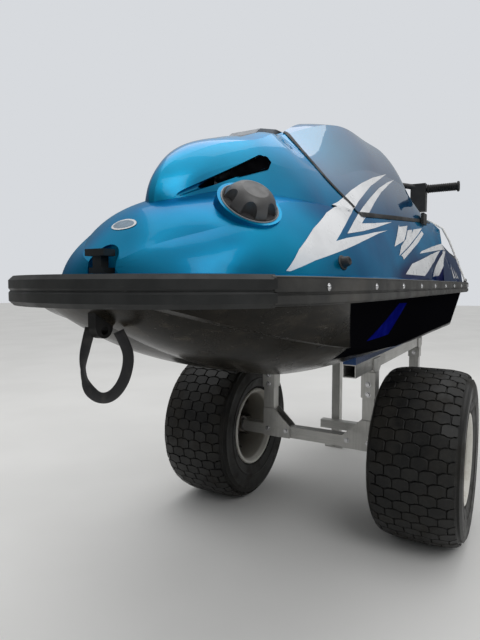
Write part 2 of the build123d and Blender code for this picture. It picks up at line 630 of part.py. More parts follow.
gussets = []
gusset_low = AXLE_Z - half - 2
for side in (1, -1):
    outline = [(outer_y, gusset_low), (outer_y, gusset_low + 104), (outer_y - 44, gusset_low + 104),
               (outer_y - 107, gusset_low + 44), (outer_y - 107, gusset_low)]
    outline = [(side * y, z) for y, z in outline]
    gussets.append(long_prism(outline, beam_x[1], beam_x[1] + 4))
    gussets.append(long_prism(outline, beam_x[0] - 4, beam_x[0]))
add("gussets", *gussets)

sleeves = []
brackets = []
for (x0, x1), low_z, high_z in ((beam_x, 432, 520), (rear_x, 482, 520)):
    for side in (1, -1):
        y0, y1 = across(side, inner_y, outer_y)
        ring = box((x0 - 4, x1 + 4), (y0 - 4, y1 + 4), (low_z, high_z))
        sleeves.append(ring - box((x0, x1), (y0, y1), (low_z - 1, high_z + 1)))
        for edge, out in ((y0, -1), (y1, 1)):
            cheek = [(x0 - 22, 568), (x1 + 22, 568), (x1 + 22, bunk_bottom), (x1 + 4, 521), (x0 - 4, 521),
                     (x0 - 22, bunk_bottom)]
            brackets.append(side_prism(cheek, *sorted((edge, edge + out * 4))))
add("sleeves", *sleeves)
add("bunk_brackets", *brackets)
add("bunks", *both(lambda s: tube(BUNK_X, across(s, inner_y, outer_y), (bunk_bottom, BUNK_TOP_Z))))
carpets = both(lambda s: box(BUNK_X, across(s, inner_y, outer_y), (BUNK_TOP_Z, BUNK_TOP_Z + 40)) - hull)
add("bunk_carpets", *[max(carpet.solids(), key=lambda solid: solid.volume) for carpet in carpets])


def axle_stub(side):
    """Stub axle from the beam's end through the hub, with a collar and an end washer."""
    stub = rod((AXLE_X, side * BEAM_END_Y, AXLE_Z), (AXLE_X, side * (WHEEL_Y + 74), AXLE_Z), AXLE_RADIUS)
    stub += rod((AXLE_X, side * BEAM_END_Y, AXLE_Z), (AXLE_X, side * (BEAM_END_Y + 8), AXLE_Z), 22)
    return stub + rod((AXLE_X, side * (WHEEL_Y + 68), AXLE_Z), (AXLE_X, side * (WHEEL_Y + 72), AXLE_Z), 20)


add("axle_stubs", *both(axle_stub))

# Wheels: a fat tyre on a dished plastic rim with ribs
tyre_half = TYRE_WIDTH / 2
tyre_points = [
    (RIM_RADIUS, -86), (RIM_RADIUS, 86), (FLANGE_RADIUS, 90), (150, 108), (178, 128), (214, tyre_half),
    (244, 128), (264, 108), (TYRE_RADIUS, 62), (TYRE_RADIUS, -62), (264, -108), (244, -128),
    (214, -tyre_half), (178, -128), (150, -108), (FLANGE_RADIUS, -90),
]
rim_points = [
    (FLANGE_RADIUS, -90), (RIM_RADIUS, -86), (RIM_RADIUS, 86), (FLANGE_RADIUS, 90), (FLANGE_RADIUS, 95),
    (118, 95), (112, 24), (32, 12), (32, 66), (AXLE_RADIUS + RUNNING_FIT, 66),
    (AXLE_RADIUS + RUNNING_FIT, -66), (32, -66), (32, 2), (112, 14), (118, -95), (FLANGE_RADIUS, -95),
]
RIM_RIBS = 10
rim = spin(rim_points, "Y")
for turn in range(RIM_RIBS):
    rim += Rot(0, turn * 360 / RIM_RIBS, 0) * box((28, 116), (-30, 46), (-3, 3))
for name, side in WHEELS:
    place = Pos(AXLE_X, side * WHEEL_Y, AXLE_Z) * Rot(0, 0, 0 if side == 1 else 180)
    add("tyre_" + name, place * spin(tyre_points, "Y"))
    add("rim_" + name, place * rim)

if __name__ == "__main__":
    for name, solids in nodes.items():
        whole = solids[0] if len(solids) == 1 else Compound(children=list(solids))
        export_step(whole, "parts/" + name + ".step")
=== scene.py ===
import math

import bmesh
import bpy
from mathutils import Matrix, Vector
from mathutils.bvhtree import BVHTree


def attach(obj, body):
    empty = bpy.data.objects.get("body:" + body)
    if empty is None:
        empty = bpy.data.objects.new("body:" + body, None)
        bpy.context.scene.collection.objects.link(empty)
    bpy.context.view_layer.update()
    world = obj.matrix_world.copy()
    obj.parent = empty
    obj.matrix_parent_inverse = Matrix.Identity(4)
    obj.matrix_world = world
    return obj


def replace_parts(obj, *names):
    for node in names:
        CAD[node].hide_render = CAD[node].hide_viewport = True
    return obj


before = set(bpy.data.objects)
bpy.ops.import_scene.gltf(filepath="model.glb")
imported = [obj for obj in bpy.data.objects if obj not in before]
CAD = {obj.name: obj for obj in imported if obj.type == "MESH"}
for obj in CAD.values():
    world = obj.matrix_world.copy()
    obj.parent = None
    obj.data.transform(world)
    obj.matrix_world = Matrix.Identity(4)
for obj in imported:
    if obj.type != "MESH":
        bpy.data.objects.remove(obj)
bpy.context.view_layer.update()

scene = bpy.context.scene
SIDES = (("port", 1), ("starboard", -1))

# Camera beside the bow, level with the rubbing rail
CAMERA_PLACE = (1.695, 0.65, 0.811)
CAMERA_AZIMUTH = 120
CAMERA_DOWN = 3.96
LENS_MM = 28.40625
SENSOR_MM = 36

camera_data = bpy.data.cameras.new("camera")
camera_data.sensor_width = SENSOR_MM
camera_data.lens = LENS_MM
camera_data.clip_start = 0.05
camera = bpy.data.objects.new("camera", camera_data)
camera.location = CAMERA_PLACE
camera.rotation_euler = (math.radians(90 - CAMERA_DOWN), 0, math.radians(CAMERA_AZIMUTH))
scene.collection.objects.link(camera)
scene.camera = camera


# Shapes made of rings of points
def new_mesh(name, shape):
    """Smooth mesh of a shape; the shape is freed."""
    mesh = bpy.data.meshes.new(name)
    shape.to_mesh(mesh)
    shape.free()
    for face in mesh.polygons:
        face.use_smooth = True
    return mesh


def rounded(shape, angle=35):
    """Smooth mesh with sharp edges where the shape turns more than an angle in degrees."""
    shape.normal_update()
    for edge in shape.edges:
        if len(edge.link_faces) == 2 and edge.calc_face_angle() > math.radians(angle):
            edge.smooth = False
    return new_mesh("shape", shape)


def bridge(shape, rings, closed=True):
    """Faces between each ring of points and the next."""
    for one, two in zip(rings, rings[1:]):
        for i in range(len(one) if closed else len(one) - 1):
            j = (i + 1) % len(one)
            shape.faces.new((one[i], one[j], two[j], two[i]))


def sealed(shape, rings):
    """Faces along the rings and over both ends, all turned outward."""
    bridge(shape, rings)
    shape.faces.new(rings[0])
    shape.faces.new(rings[-1])
    bmesh.ops.recalc_face_normals(shape, faces=shape.faces[:])
    return shape


def directed(line):
    """Each place of a line with the direction that the line runs in there."""
    last = len(line) - 1
    return [(place, (line[min(i + 1, last)] - line[max(i - 1, 0)]).normalized())
            for i, place in enumerate(line)]


def flowing(route, steps=10):
    """Smooth line that leaves the first point, bends towards each corner and ends at the last point."""
    points = [Vector(point) for point in route]
    line = []
    for i in range(1, len(points) - 1):
        start = points[0] if i == 1 else (points[i - 1] + points[i]) / 2
        end = points[-1] if i == len(points) - 2 else (points[i] + points[i + 1]) / 2
        for j in range(steps):
            t = j / steps
            line.append(start * (1 - t) ** 2 + points[i] * (2 * t * (1 - t)) + end * t * t)
    return line + [points[-1]]


def between(stops, at):
    """Value at a place among stops of place and value."""
    for (x0, y0), (x1, y1) in zip(stops, stops[1:]):
        if at <= x1:
            return y0 + (y1 - y0) * (at - x0) / (x1 - x0)
    return stops[-1][1]


# Strap that hangs from the bow eye: flat webbing, with a twist in its starboard leg
STRAP_ROUTE = ((1.060, -0.020, 0.736), (1.066, -0.026, 0.706), (1.072, -0.030, 0.668), (1.068, -0.026, 0.632),
               (1.056, -0.010, 0.610), (1.042, 0.010, 0.612), (1.028, 0.026, 0.638), (1.022, 0.034, 0.676),
               (1.026, 0.032, 0.704), (1.036, 0.023, 0.730))
STRAP_HALF_WIDTH = 0.010
STRAP_HALF_THICK = 0.0013
STRAP_SECTION = ((-1, 0), (-0.93, 1), (0, 1.15), (0.93, 1), (1, 0), (0.93, -1), (0, -1.15), (-0.93, -1))
STRAP_FACING = Vector((0.87, 0.5, 0))
# Share of the strap's length, and its turn there in degrees
STRAP_TWIST = ((0, 35), (0.10, 50), (0.20, 86), (0.27, 80), (0.38, 15), (0.46, 0), (1, 0))


def webbing_mesh(line):
    """Flat band along a line, turned about it by the twist."""
    shape = bmesh.new()
    rings = []
    for i, (place, along) in enumerate(directed(line)):
        flat = along.cross(STRAP_FACING).normalized()
        upright = flat.cross(along)
        turn = math.radians(between(STRAP_TWIST, i / (len(line) - 1)))
        wide = (flat * math.cos(turn) + upright * math.sin(turn)) * STRAP_HALF_WIDTH
        thick = (upright * math.cos(turn) - flat * math.sin(turn)) * STRAP_HALF_THICK
        rings.append([shape.verts.new(place + wide * u + thick * v) for u, v in STRAP_SECTION])
    return new_mesh("webbing_strap", sealed(shape, rings))


strap_line = flowing(STRAP_ROUTE)
strap = bpy.data.objects.new("webbing_strap", webbing_mesh(strap_line))
scene.collection.objects.link(strap)
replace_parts(strap, "strap")
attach(strap, "root")


# Node helpers
class Shader:
    """A material's node tree, with short calls for the textures that it is built from."""

    def __init__(self, name):
        self.material = bpy.data.materials.new(name)
        self.material.use_nodes = True
        self.tree = self.material.node_tree
        self.bsdf = self.tree.nodes["Principled BSDF"]
        self.place = self.add("ShaderNodeTexCoord").outputs["Object"]

    def add(self, kind, inputs=(), **settings):
        node = self.tree.nodes.new(kind)
        for key, value in settings.items():
            setattr(node, key, value)
        for key, value in dict(inputs).items():
            self.put(node.inputs[key], value)
        return node

    def put(self, socket, value):
        if isinstance(value, bpy.types.NodeSocket):
            self.tree.links.new(value, socket)
        else:
            socket.default_value = value

    def set(self, **values):
        for key, value in values.items():
            self.put(self.bsdf.inputs[key.replace("_", " ")], value)

    def noise(self, scale, detail=3, rough=0.5, stretch=None, distortion=0):
        where = self.place
        if stretch:
            where = self.add("ShaderNodeMapping", {"Vector": self.place, "Scale": stretch}).outputs[0]
        return self.add("ShaderNodeTexNoise", {
            "Vector": where, "Scale": scale, "Detail": detail, "Roughness": rough,
            "Distortion": distortion}).outputs["Fac"]

    def cells(self, scale):
        return self.add("ShaderNodeTexVoronoi", {"Vector": self.place, "Scale": scale}).outputs["Distance"]

    def wave(self, scale, distortion, detail, axis):
        return self.add("ShaderNodeTexWave", {
            "Vector": self.place, "Scale": scale, "Distortion": distortion, "Detail": detail},
            bands_direction=axis).outputs["Fac"]

    def ramp(self, value, *stops):
        """Colour ramp; each stop is a place from 0 to 1 and a colour."""
        node = self.add("ShaderNodeValToRGB", {"Fac": value})
        set_stops(node.color_ramp, stops)
        return node.outputs["Color"]

    def map(self, value, low, high, to_low=0.0, to_high=1.0):
        return self.add("ShaderNodeMapRange", {
            "Value": value, "From Min": low, "From Max": high, "To Min": to_low, "To Max": to_high},
            interpolation_type="SMOOTHSTEP").outputs["Result"]

    def maths(self, how, a, b=0.0, c=0.0):
        return self.add("ShaderNodeMath", {0: a, 1: b, 2: c}, operation=how).outputs[0]

    def times(self, a, b):
        return self.maths("MULTIPLY", a, b)

    def minus(self, a, b):
        return self.maths("SUBTRACT", a, b)

    def mix(self, factor, a, b):
        node = self.add("ShaderNodeMix", data_type="RGBA")
        self.put(node.inputs["Factor"], factor)
        for key, value in ((6, a), (7, b)):
            self.put(node.inputs[key], value if isinstance(value, bpy.types.NodeSocket) else (*value, 1))
        return node.outputs[2]

    def axes(self):
        return self.add("ShaderNodeSeparateXYZ", {"Vector": self.place}).outputs

    def dusty(self, colour, amount):
        """Pale dust that gathers in patches over a colour."""
        patches = self.map(self.noise(5, 6, 0.62), 0.46, 0.78)
        return self.mix(self.times(patches, amount), colour, (0.30, 0.27, 0.23))

    def bump(self, *layers):
        """Stacked bumps; each layer is a height, its strength and its depth in metres."""
        normal = None
        for height, strength, depth in layers:
            node = self.add("ShaderNodeBump", {"Height": height, "Strength": strength, "Distance": depth})
            if normal:
                self.put(node.inputs["Normal"], normal)
            normal = node.outputs["Normal"]
        self.put(self.bsdf.inputs["Normal"], normal)


def set_stops(ramp, stops):
    """Places and colours of a colour ramp, in order."""
    while len(ramp.elements) < len(stops):
        ramp.elements.new(0.5)
    for element, (place, colour) in zip(ramp.elements, stops):
        element.position = place
        element.color = (*colour, 1)


def shade(colour, share):
    """A colour at a share of its brightness."""
    return tuple(part * share for part in colour)


# Metallic paint: bright blue that drifts to a deeper one, and navy low on the after deck
BLUE = (0.001, 0.090, 0.200)
BLUE_BRIGHT = (0.001, 0.345, 0.590)
BLUE_FLAKE = (0.02, 0.42, 0.66)
BLUE_DEEP = (0.002, 0.020, 0.045)
NAVY = (0.003, 0.010, 0.085)
NAVY_ONSET = (0.42, 0.16)
NAVY_SLOPE = 0.13
NAVY_EDGE = (0.918, 0.868)
SHINE_HEIGHTS = (0.96, 1.12)


def make_paint(name, aft_navy, coat_index, depth):
    """Depth is how far the colour keeps from its deepest; the clear coat shines most near the top."""
    s = Shader(name)
    x, _, z = s.axes()
    flake = s.cells(1700)
    base = s.mix(s.map(s.noise(2.2, 3, 0.5), 0.3, 0.7), BLUE, BLUE_BRIGHT)
    base = s.mix(s.map(flake, 0.0, 0.9, 0.0, 0.14), base, BLUE_FLAKE)
    base = s.mix(1.0 - depth, base, BLUE_DEEP)
    if aft_navy:
        low = s.map(s.maths("MULTIPLY_ADD", x, NAVY_SLOPE, z), *NAVY_EDGE)
        base = s.mix(s.times(s.map(x, *NAVY_ONSET), low), base, NAVY)
    s.set(Base_Color=base, Metallic=0.9, Roughness=s.map(s.noise(9, 5, 0.6), 0.3, 0.8, 0.34, 0.44),
          Specular_Tint=(0.0, 0.40, 0.70, 1), Coat_Weight=s.map(z, *SHINE_HEIGHTS, 0.35, 1.0),
          Coat_Roughness=0.03, Coat_IOR=coat_index)
    s.bump((s.noise(9, 2), 0.04, 0.002), (flake, 0.02, 0.0002))
    return s.material


# Black gelcoat with warm streaks and patches, part dust and part painted sheen of the pale ground, and a
# clean black panel aft of a raked edge
PANEL_RAKE = 1.12
PANEL_AT = -0.225
PANEL_FOOT = (0.605, 0.625)


def make_hull_bottom():
    s = Shader("hull_gelcoat")
    # Warm streaks and patches: part dust, part painted sheen, the pale ground's reflection on the black
    # gelcoat
    streaks_and_sheen = s.noise(7, 6, 0.66, stretch=(0.8, 3.0, 5.0), distortion=0.6)
    stains_and_sheen = s.noise(3.2, 7, 0.68)
    base = s.ramp(streaks_and_sheen, (0.30, (0.003, 0.003, 0.002)), (0.55, (0.012, 0.010, 0.007)),
                  (0.75, (0.045, 0.038, 0.027)))
    base = s.mix(s.map(stains_and_sheen, 0.52, 0.76, 0.0, 0.4), base, (0.050, 0.041, 0.029))
    scratches = s.map(s.noise(60, 4, 0.7, stretch=(0.15, 3, 3)), 0.64, 0.70)
    base = s.mix(s.times(scratches, 0.18), base, (0.30, 0.29, 0.27))
    x, _, z = s.axes()
    edge = s.minus(x, s.maths("MULTIPLY_ADD", z, PANEL_RAKE, PANEL_AT))
    panel = s.times(s.map(edge, 0.006, -0.006), s.map(z, *PANEL_FOOT))
    base = s.mix(panel, base, (0.003, 0.003, 0.004))
    s.set(Base_Color=base, Roughness=s.map(stains_and_sheen, 0.3, 0.7, 0.16, 0.36),
          Specular_IOR_Level=s.map(panel, 0, 1, 0.10, 0.0))
    s.bump((scratches, 0.12, 0.0006), (s.noise(14, 3), 0.10, 0.002))
    return s.material


def make_rubber(name, dark, light, dust, scuff=(0.25, 0.25, 0.25), pale_top=None):
    """Rubber with scuffs; from just below the given top height upward it turns pale grey."""
    s = Shader(name)
    base = s.mix(s.map(s.noise(14, 5, 0.6), 0.35, 0.7), dark, light)
    scuffs = s.map(s.noise(45, 5, 0.7, stretch=(0.5, 0.5, 3)), 0.66, 0.74)
    base = s.dusty(s.mix(s.times(scuffs, 0.5), base, scuff), dust)
    if pale_top:
        # Pale grey band along the top edge
        pale_band = s.map(s.axes()[2], pale_top - 0.0025, pale_top - 0.0005)
        base = s.mix(s.times(pale_band, 0.8), base, (0.26, 0.26, 0.25))
    s.set(Base_Color=base, Roughness=s.map(s.noise(20, 4), 0.3, 0.7, 0.42, 0.62), Specular_IOR_Level=0.35)
    s.bump((s.noise(420, 2), 0.10, 0.0005), (scuffs, 0.2, 0.0006))
    return s.material


def make_plastic(name, colour, rough=0.5, grain=900, dust=0.12, shine=0.5):
    s = Shader(name)
    lighter = tuple(min(1, part * 1.4 + 0.002) for part in colour)
    base = s.dusty(s.mix(s.map(s.noise(30, 4), 0.35, 0.7), colour, lighter), dust)
    s.set(Base_Color=base, Specular_IOR_Level=shine,
          Roughness=s.map(s.noise(55, 3), 0.3, 0.7, rough - 0.06, rough + 0.08))
    s.bump((s.cells(grain), 0.10, 0.0003), (s.noise(90, 3), 0.04, 0.0006))
    return s.material


def make_metal(name, colour, rough, stretch, tarnish=0.25, metallic=0.85):
    """Drawn or brushed metal; the lines run along the axis that is stretched least."""
    s = Shader(name)
    lines = s.noise(180, 3, 0.6, stretch=stretch)
    spots = s.map(s.noise(24, 7, 0.7), 0.52, 0.72)
    base = s.mix(s.map(lines, 0.3, 0.7), shade(colour, 0.84), colour)
    base = s.mix(s.times(spots, tarnish), base, shade(colour, 0.4))
    s.set(Base_Color=base, Metallic=metallic,
          Roughness=s.map(s.noise(12, 5, 0.6), 0.3, 0.7, rough - 0.07, rough + 0.12))
    s.bump((lines, 0.08, 0.0004), (s.noise(35, 3), 0.05, 0.001))
    return s.material


def make_cast(name, colour):
    s = Shader(name)
    base = s.mix(s.map(s.noise(22, 5), 0.3, 0.7), shade(colour, 0.7), colour)
    s.set(Base_Color=base, Metallic=0.7, Roughness=s.map(s.noise(60, 3), 0.3, 0.7, 0.42, 0.6))
    s.bump((s.cells(700), 0.25, 0.0006), (s.noise(160, 3), 0.15, 0.0008))
    return s.material


def make_tyre():
    s = Shader("tyre_rubber")
    dirt = s.map(s.noise(9, 6, 0.65), 0.42, 0.70)
    grit = s.map(s.noise(140, 4, 0.7), 0.5, 0.75)
    base = s.mix(s.map(s.noise(20, 4), 0.3, 0.7), (0.004, 0.004, 0.004), (0.011, 0.011, 0.010))
    base = s.mix(s.times(dirt, 0.16), base, (0.070, 0.058, 0.042))
    base = s.mix(s.times(grit, 0.07), base, (0.18, 0.17, 0.15))
    s.set(Base_Color=base, Roughness=s.map(dirt, 0, 1, 0.45, 0.75), Specular_IOR_Level=0.3)
    s.bump((s.noise(330, 3), 0.22, 0.0008), (s.noise(60, 3), 0.10, 0.001))
    return s.material


# Wheels: the axle's x and z, the wheels' y, and the reach of the grime and painted shade from the axle
AXLE = (0.011, 0.2725)
WHEEL_Y = 0.374
GRIME_AND_SHADE_REACH = (0.121, 0.112)
BARREL_HALF = (0.110, 0.100)


def make_rim():
    """Cream plastic with stains, darker towards the hub and inside the barrel: partly grime and partly
    painted shade.
    """
    s = Shader("rim_plastic")
    x, y, z = s.axes()
    stain = s.map(s.noise(16, 6, 0.68), 0.45, 0.72)
    base = s.mix(s.map(s.noise(8, 3), 0.3, 0.7), (0.60, 0.585, 0.53), (0.72, 0.71, 0.66))
    base = s.mix(s.times(stain, 0.45), base, (0.30, 0.24, 0.17))
    reach = s.maths("SQRT", s.maths("ADD", s.maths("POWER", s.minus(x, AXLE[0]), 2),
                                    s.maths("POWER", s.minus(z, AXLE[1]), 2)))
    across = s.maths("ABSOLUTE", s.minus(s.maths("ABSOLUTE", y), WHEEL_Y))
    # Painted shade inside the barrel, mixed with brown grime
    base = s.mix(s.times(s.map(across, *BARREL_HALF), 0.7), base, (0.17, 0.15, 0.12))
    # Painted shade towards the hub, mixed with grime: darkest within the reach from the axle
    grime_and_shade = s.times(s.map(reach, *GRIME_AND_SHADE_REACH), s.map(s.noise(30, 5, 0.65), 0.2, 0.6, 0.75, 0.95))
    base = s.mix(grime_and_shade, base, (0.055, 0.046, 0.036))
    s.set(Base_Color=base, Roughness=s.map(stain, 0, 1, 0.34, 0.6))
    s.bump((s.noise(120, 3), 0.08, 0.0006), (stain, 0.05, 0.0005))
    return s.material


def make_pole():
    """Black cover that turns grey over the hump at its front."""
    s = Shader("pole_cover")
    hump = s.map(s.axes()[0], 0.42, 0.48)
    base = s.mix(s.map(s.noise(30, 4), 0.35, 0.7), (0.009, 0.009, 0.010), (0.022, 0.022, 0.023))
    grey = s.mix(s.map(s.noise(26, 4), 0.3, 0.7), (0.17, 0.19, 0.22), (0.24, 0.26, 0.29))
    s.set(Base_Color=s.dusty(s.mix(hump, base, grey), 0.10),
          Roughness=s.map(s.noise(55, 3), 0.3, 0.7, 0.38, 0.55))
    s.bump((s.cells(1100), 0.12, 0.0004), (s.noise(60, 3), 0.05, 0.001))
    return s.material


def make_carpet():
    s = Shader("bunk_carpet")
    pile = s.noise(900, 3, 0.7)
    base = s.mix(s.map(pile, 0.3, 0.7), (0.006, 0.030, 0.115), (0.020, 0.085, 0.26))
    base = s.mix(s.map(s.noise(22, 5, 0.65), 0.5, 0.75, 0, 0.35), base, (0.05, 0.07, 0.10))
    s.set(Base_Color=base, Roughness=0.95, Sheen_Weight=0.5, Sheen_Roughness=0.5)
    s.bump((s.wave(95, 1.2, 2, "Y"), 0.35, 0.0012), (pile, 0.6, 0.0012))
    return s.material


def make_mat():
    s = Shader("tray_mat")
    base = s.mix(s.map(s.noise(35, 5), 0.3, 0.7), (0.018, 0.018, 0.020), (0.045, 0.045, 0.048))
    s.set(Base_Color=s.dusty(base, 0.2), Roughness=s.map(s.noise(40, 3), 0.3, 0.7, 0.6, 0.8))
    s.bump((s.noise(500, 3), 0.25, 0.0008))
    return s.material


def make_webbing():
    s = Shader("webbing")
    weave = s.wave(420, 0.6, 1, "Z")
    base = s.mix(s.map(weave, 0.2, 0.8), (0.008, 0.008, 0.010), (0.030, 0.030, 0.032))
    base = s.mix(s.map(s.noise(50, 4), 0.5, 0.75, 0, 0.3), base, (0.10, 0.09, 0.08))
    s.set(Base_Color=base, Roughness=0.85, Sheen_Weight=0.25)
    s.bump((weave, 0.5, 0.0006), (s.noise(1400, 2), 0.3, 0.0003))
    return s.material


def make_vinyl():
    s = Shader("white_vinyl")
    base = s.mix(s.map(s.noise(12, 4), 0.3, 0.7), (0.70, 0.71, 0.73), (0.82, 0.83, 0.85))
    base = s.mix(s.map(s.noise(35, 5, 0.7), 0.60, 0.78, 0, 0.35), base, (0.46, 0.46, 0.47))
    s.set(Base_Color=base, Roughness=s.map(s.noise(30, 4), 0.3, 0.7, 0.25, 0.42), Coat_Weight=0.4)
    s.bump((s.noise(160, 3), 0.03, 0.0004))
    return s.material


def make_floor():
    s = Shader("floor")
    base = s.mix(s.map(s.noise(1.5, 3), 0.3, 0.7), (0.76, 0.755, 0.74), (0.80, 0.795, 0.78))
    s.set(Base_Color=base, Roughness=0.9)
    return s.material


RAIL_TOP = 0.826
ALUMINIUM = (0.50, 0.495, 0.475)

paint_deck = make_paint("metallic_blue_deck", True, 1.38, 1.0)
paint_hood = make_paint("metallic_blue_hood", False, 2.6, 0.5)
hull_gelcoat = make_hull_bottom()
bumper_rubber = make_rubber("bumper_rubber", (0.009, 0.010, 0.010), (0.018, 0.019, 0.019), 0.06,
                            scuff=(0.10, 0.10, 0.10))
rail_rubber = make_rubber("rail_rubber", (0.022, 0.022, 0.021), (0.045, 0.044, 0.041), 0.14,
                          scuff=(0.16, 0.16, 0.15), pale_top=RAIL_TOP)
black_plastic = make_plastic("black_plastic", (0.010, 0.010, 0.011))
cap_plastic = make_plastic("cap_plastic", (0.040, 0.040, 0.042), 0.38, 1300)
grip_rubber = make_rubber("grip_rubber", (0.008, 0.008, 0.008), (0.018, 0.018, 0.018), 0.08)
aluminium_long = make_metal("aluminium_long", ALUMINIUM, 0.40, (0.06, 2, 2), metallic=0.7)
aluminium_tall = make_metal("aluminium_tall", ALUMINIUM, 0.40, (2, 2, 0.06), metallic=0.7)
aluminium_wide = make_metal("aluminium_wide", ALUMINIUM, 0.40, (2, 0.06, 2), metallic=0.7)
cast_metal = make_cast("cast_metal", (0.42, 0.43, 0.44))
stainless = make_metal("stainless", (0.62, 0.62, 0.63), 0.24, (2, 2, 0.2), 0.1)
tyre_rubber = make_tyre()
rim_plastic = make_rim()
pole_cover = make_pole()
carpet = make_carpet()
mat_rubber = make_mat()
webbing = make_webbing()
white_vinyl = make_vinyl()
# Stainless bow eye made near-black: painted shade where it sits behind the bumper
painted_shade_steel = make_cast("painted_shade_steel", (0.020, 0.020, 0.020))
engine_paint = make_cast("engine_paint", (0.20, 0.20, 0.21))
lash_cord = make_plastic("lash_cord", (0.80, 0.80, 0.78), 0.8, 700, 0.05)
seam_rubber = make_rubber("seam_rubber", (0.006, 0.006, 0.006), (0.014, 0.014, 0.014), 0.05)
ring_plastic = make_plastic("ring_plastic", (0.16, 0.17, 0.18), 0.35, 1500)
blue_vinyl = make_plastic("blue_vinyl", (0.002, 0.004, 0.110), 0.5, 1500, 0.0, 0.0)
badge_plastic = make_plastic("badge_plastic", (0.16, 0.22, 0.28), 0.3, 1500)
# Near-black with no shine: painted shade for the scoop mouths
painted_mouth_shade = make_plastic("painted_mouth_shade", (0.0015, 0.0015, 0.0020), 0.9, 900, 0.0, 0.0)
strap.data.materials.append(webbing)

FINISHES = {
    hull_gelcoat: ["hull"],
    paint_deck: ["deck", "cowl", "filler_ring"],
    paint_hood: ["hood"],
    bumper_rubber: ["bow_bumper", "bow_latch", "hood_latches"],
    painted_shade_steel: ["bow_eye"],
    pole_cover: ["handle_pole"],
    rail_rubber: ["rail_port", "rail_starboard"],
    black_plastic: ["side_plugs", "exhaust_outlet", "steering_housing",
                    "control_port", "control_starboard", "handlebar"],
    cap_plastic: ["fuel_cap"],
    grip_rubber: ["grip_port", "grip_starboard"],
    aluminium_long: ["bunks"],
    aluminium_tall: ["uprights", "rear_posts", "sleeves", "gussets", "bunk_brackets", "feet"],
    aluminium_wide: ["axle_beam", "rear_cross_tube"],
    cast_metal: ["pole_bracket", "pump_casing", "ride_plate", "intake_grate", "nozzle", "bar_clamp"],
    stainless: ["stern_eyes", "axle_stubs", "steering_stem", "impeller"],
    tyre_rubber: ["tyre_port", "tyre_starboard"],
    rim_plastic: ["rim_port", "rim_starboard"],
    carpet: ["bunk_carpets"],
    mat_rubber: ["tray_mat", "gunwale_pads"],
    webbing: ["strap"],
    engine_paint: ["engine"],
}
for finish, names in FINISHES.items():
    for name in names:
        CAD[name].data.materials.clear()
        CAD[name].data.materials.append(finish)


def piece(name, mesh, material, body):
    """A new object that rides on a body."""
    mesh.materials.clear()
    mesh.materials.append(material)
    obj = bpy.data.objects.new(name, mesh)
    scene.collection.objects.link(obj)
    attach(obj, body)
    return obj


# Surfaces that vinyl, gasket and screws lie on; rays start outside them, and a narrow seam is bridged
OUTSIDE = 0.6
SEAM_REACH = 0.005
SEAM_DEPTH = 0.006
SKIN_DEPTH = 0.007


def surface(*names):
    """Search tree over the named nodes, for casting rays."""
    joined = bmesh.new()
    for name in names:
        joined.from_mesh(CAD[name].data)
    tree = BVHTree.FromBMesh(joined)
    joined.free()
    return tree


upper = surface("deck", "cowl", "hood")
lower = surface("hull")


def touch(tree, start, along, lift=0.0):
    """Point where a ray first meets a surface, lifted off it, and the outward normal there."""
    along = Vector(along)
    hit, normal, _, _ = tree.ray_cast(Vector(start), along)
    if hit is None:
        return None, None
    if normal.dot(along) > 0:
        normal = -normal
    return hit + normal * lift, normal


def from_side(tree, x, z, side, lift=0.0):
    """Touches a surface at x and z, coming from the port or starboard side."""
    return touch(tree, (x, side * OUTSIDE, z), (0, -side, 0), lift)


def side_touch(tree, x, z, side, lift):
    """Point on the craft's side that bridges the narrow hood seam."""
    offsets = ((0, 0), (SEAM_REACH, 0), (-SEAM_REACH, 0), (0, SEAM_REACH), (0, -SEAM_REACH))
    around = [from_side(tree, x + dx, z + dz, side, lift)[0] for dx, dz in offsets]
    met = [place for place in around if place]
    if not met:
        return None
    outermost = max(met, key=lambda place: place.y * side)
    if around[0] and (outermost.y - around[0].y) * side <= SEAM_DEPTH:
        return around[0]
    skin = [place.y for place in met if (outermost.y - place.y) * side < SKIN_DEPTH]
    return Vector((x, sum(skin) / len(skin), z))


def cut_sheet(outline, cell):
    """Flat sheet with a u, v outline, cut into small faces."""
    sheet = bmesh.new()
    sheet.faces.new([sheet.verts.new((u, v, 0)) for u, v in outline])
    sheet.normal_update()
    bmesh.ops.triangulate(sheet, faces=sheet.faces[:], ngon_method="EAR_CLIP")
    for axis, across in enumerate((Vector((1, 0, 0)), Vector((0, 1, 0)))):
        values = [point[axis] for point in outline]
        place = min(values) + cell
        while place < max(values):
            bmesh.ops.bisect_plane(sheet, geom=sheet.verts[:] + sheet.edges[:] + sheet.faces[:],
                                   plane_co=across * place, plane_no=across)
            place += cell
    bmesh.ops.triangulate(sheet, faces=sheet.faces[:])
    return sheet


def lay(sheet, landing, outward):
    """Moves each vertex of a cut sheet on to a surface and turns the faces outward."""
    lost = []
    for vert in sheet.verts:
        place = landing(vert.co.x, vert.co.y)
        if place is None:
            lost.append(vert)
        else:
            vert.co = place
    bmesh.ops.delete(sheet, geom=lost, context="VERTS")
    sheet.normal_update()
    bmesh.ops.reverse_faces(sheet, faces=[f for f in sheet.faces if f.normal.dot(outward) < 0])
    return sheet


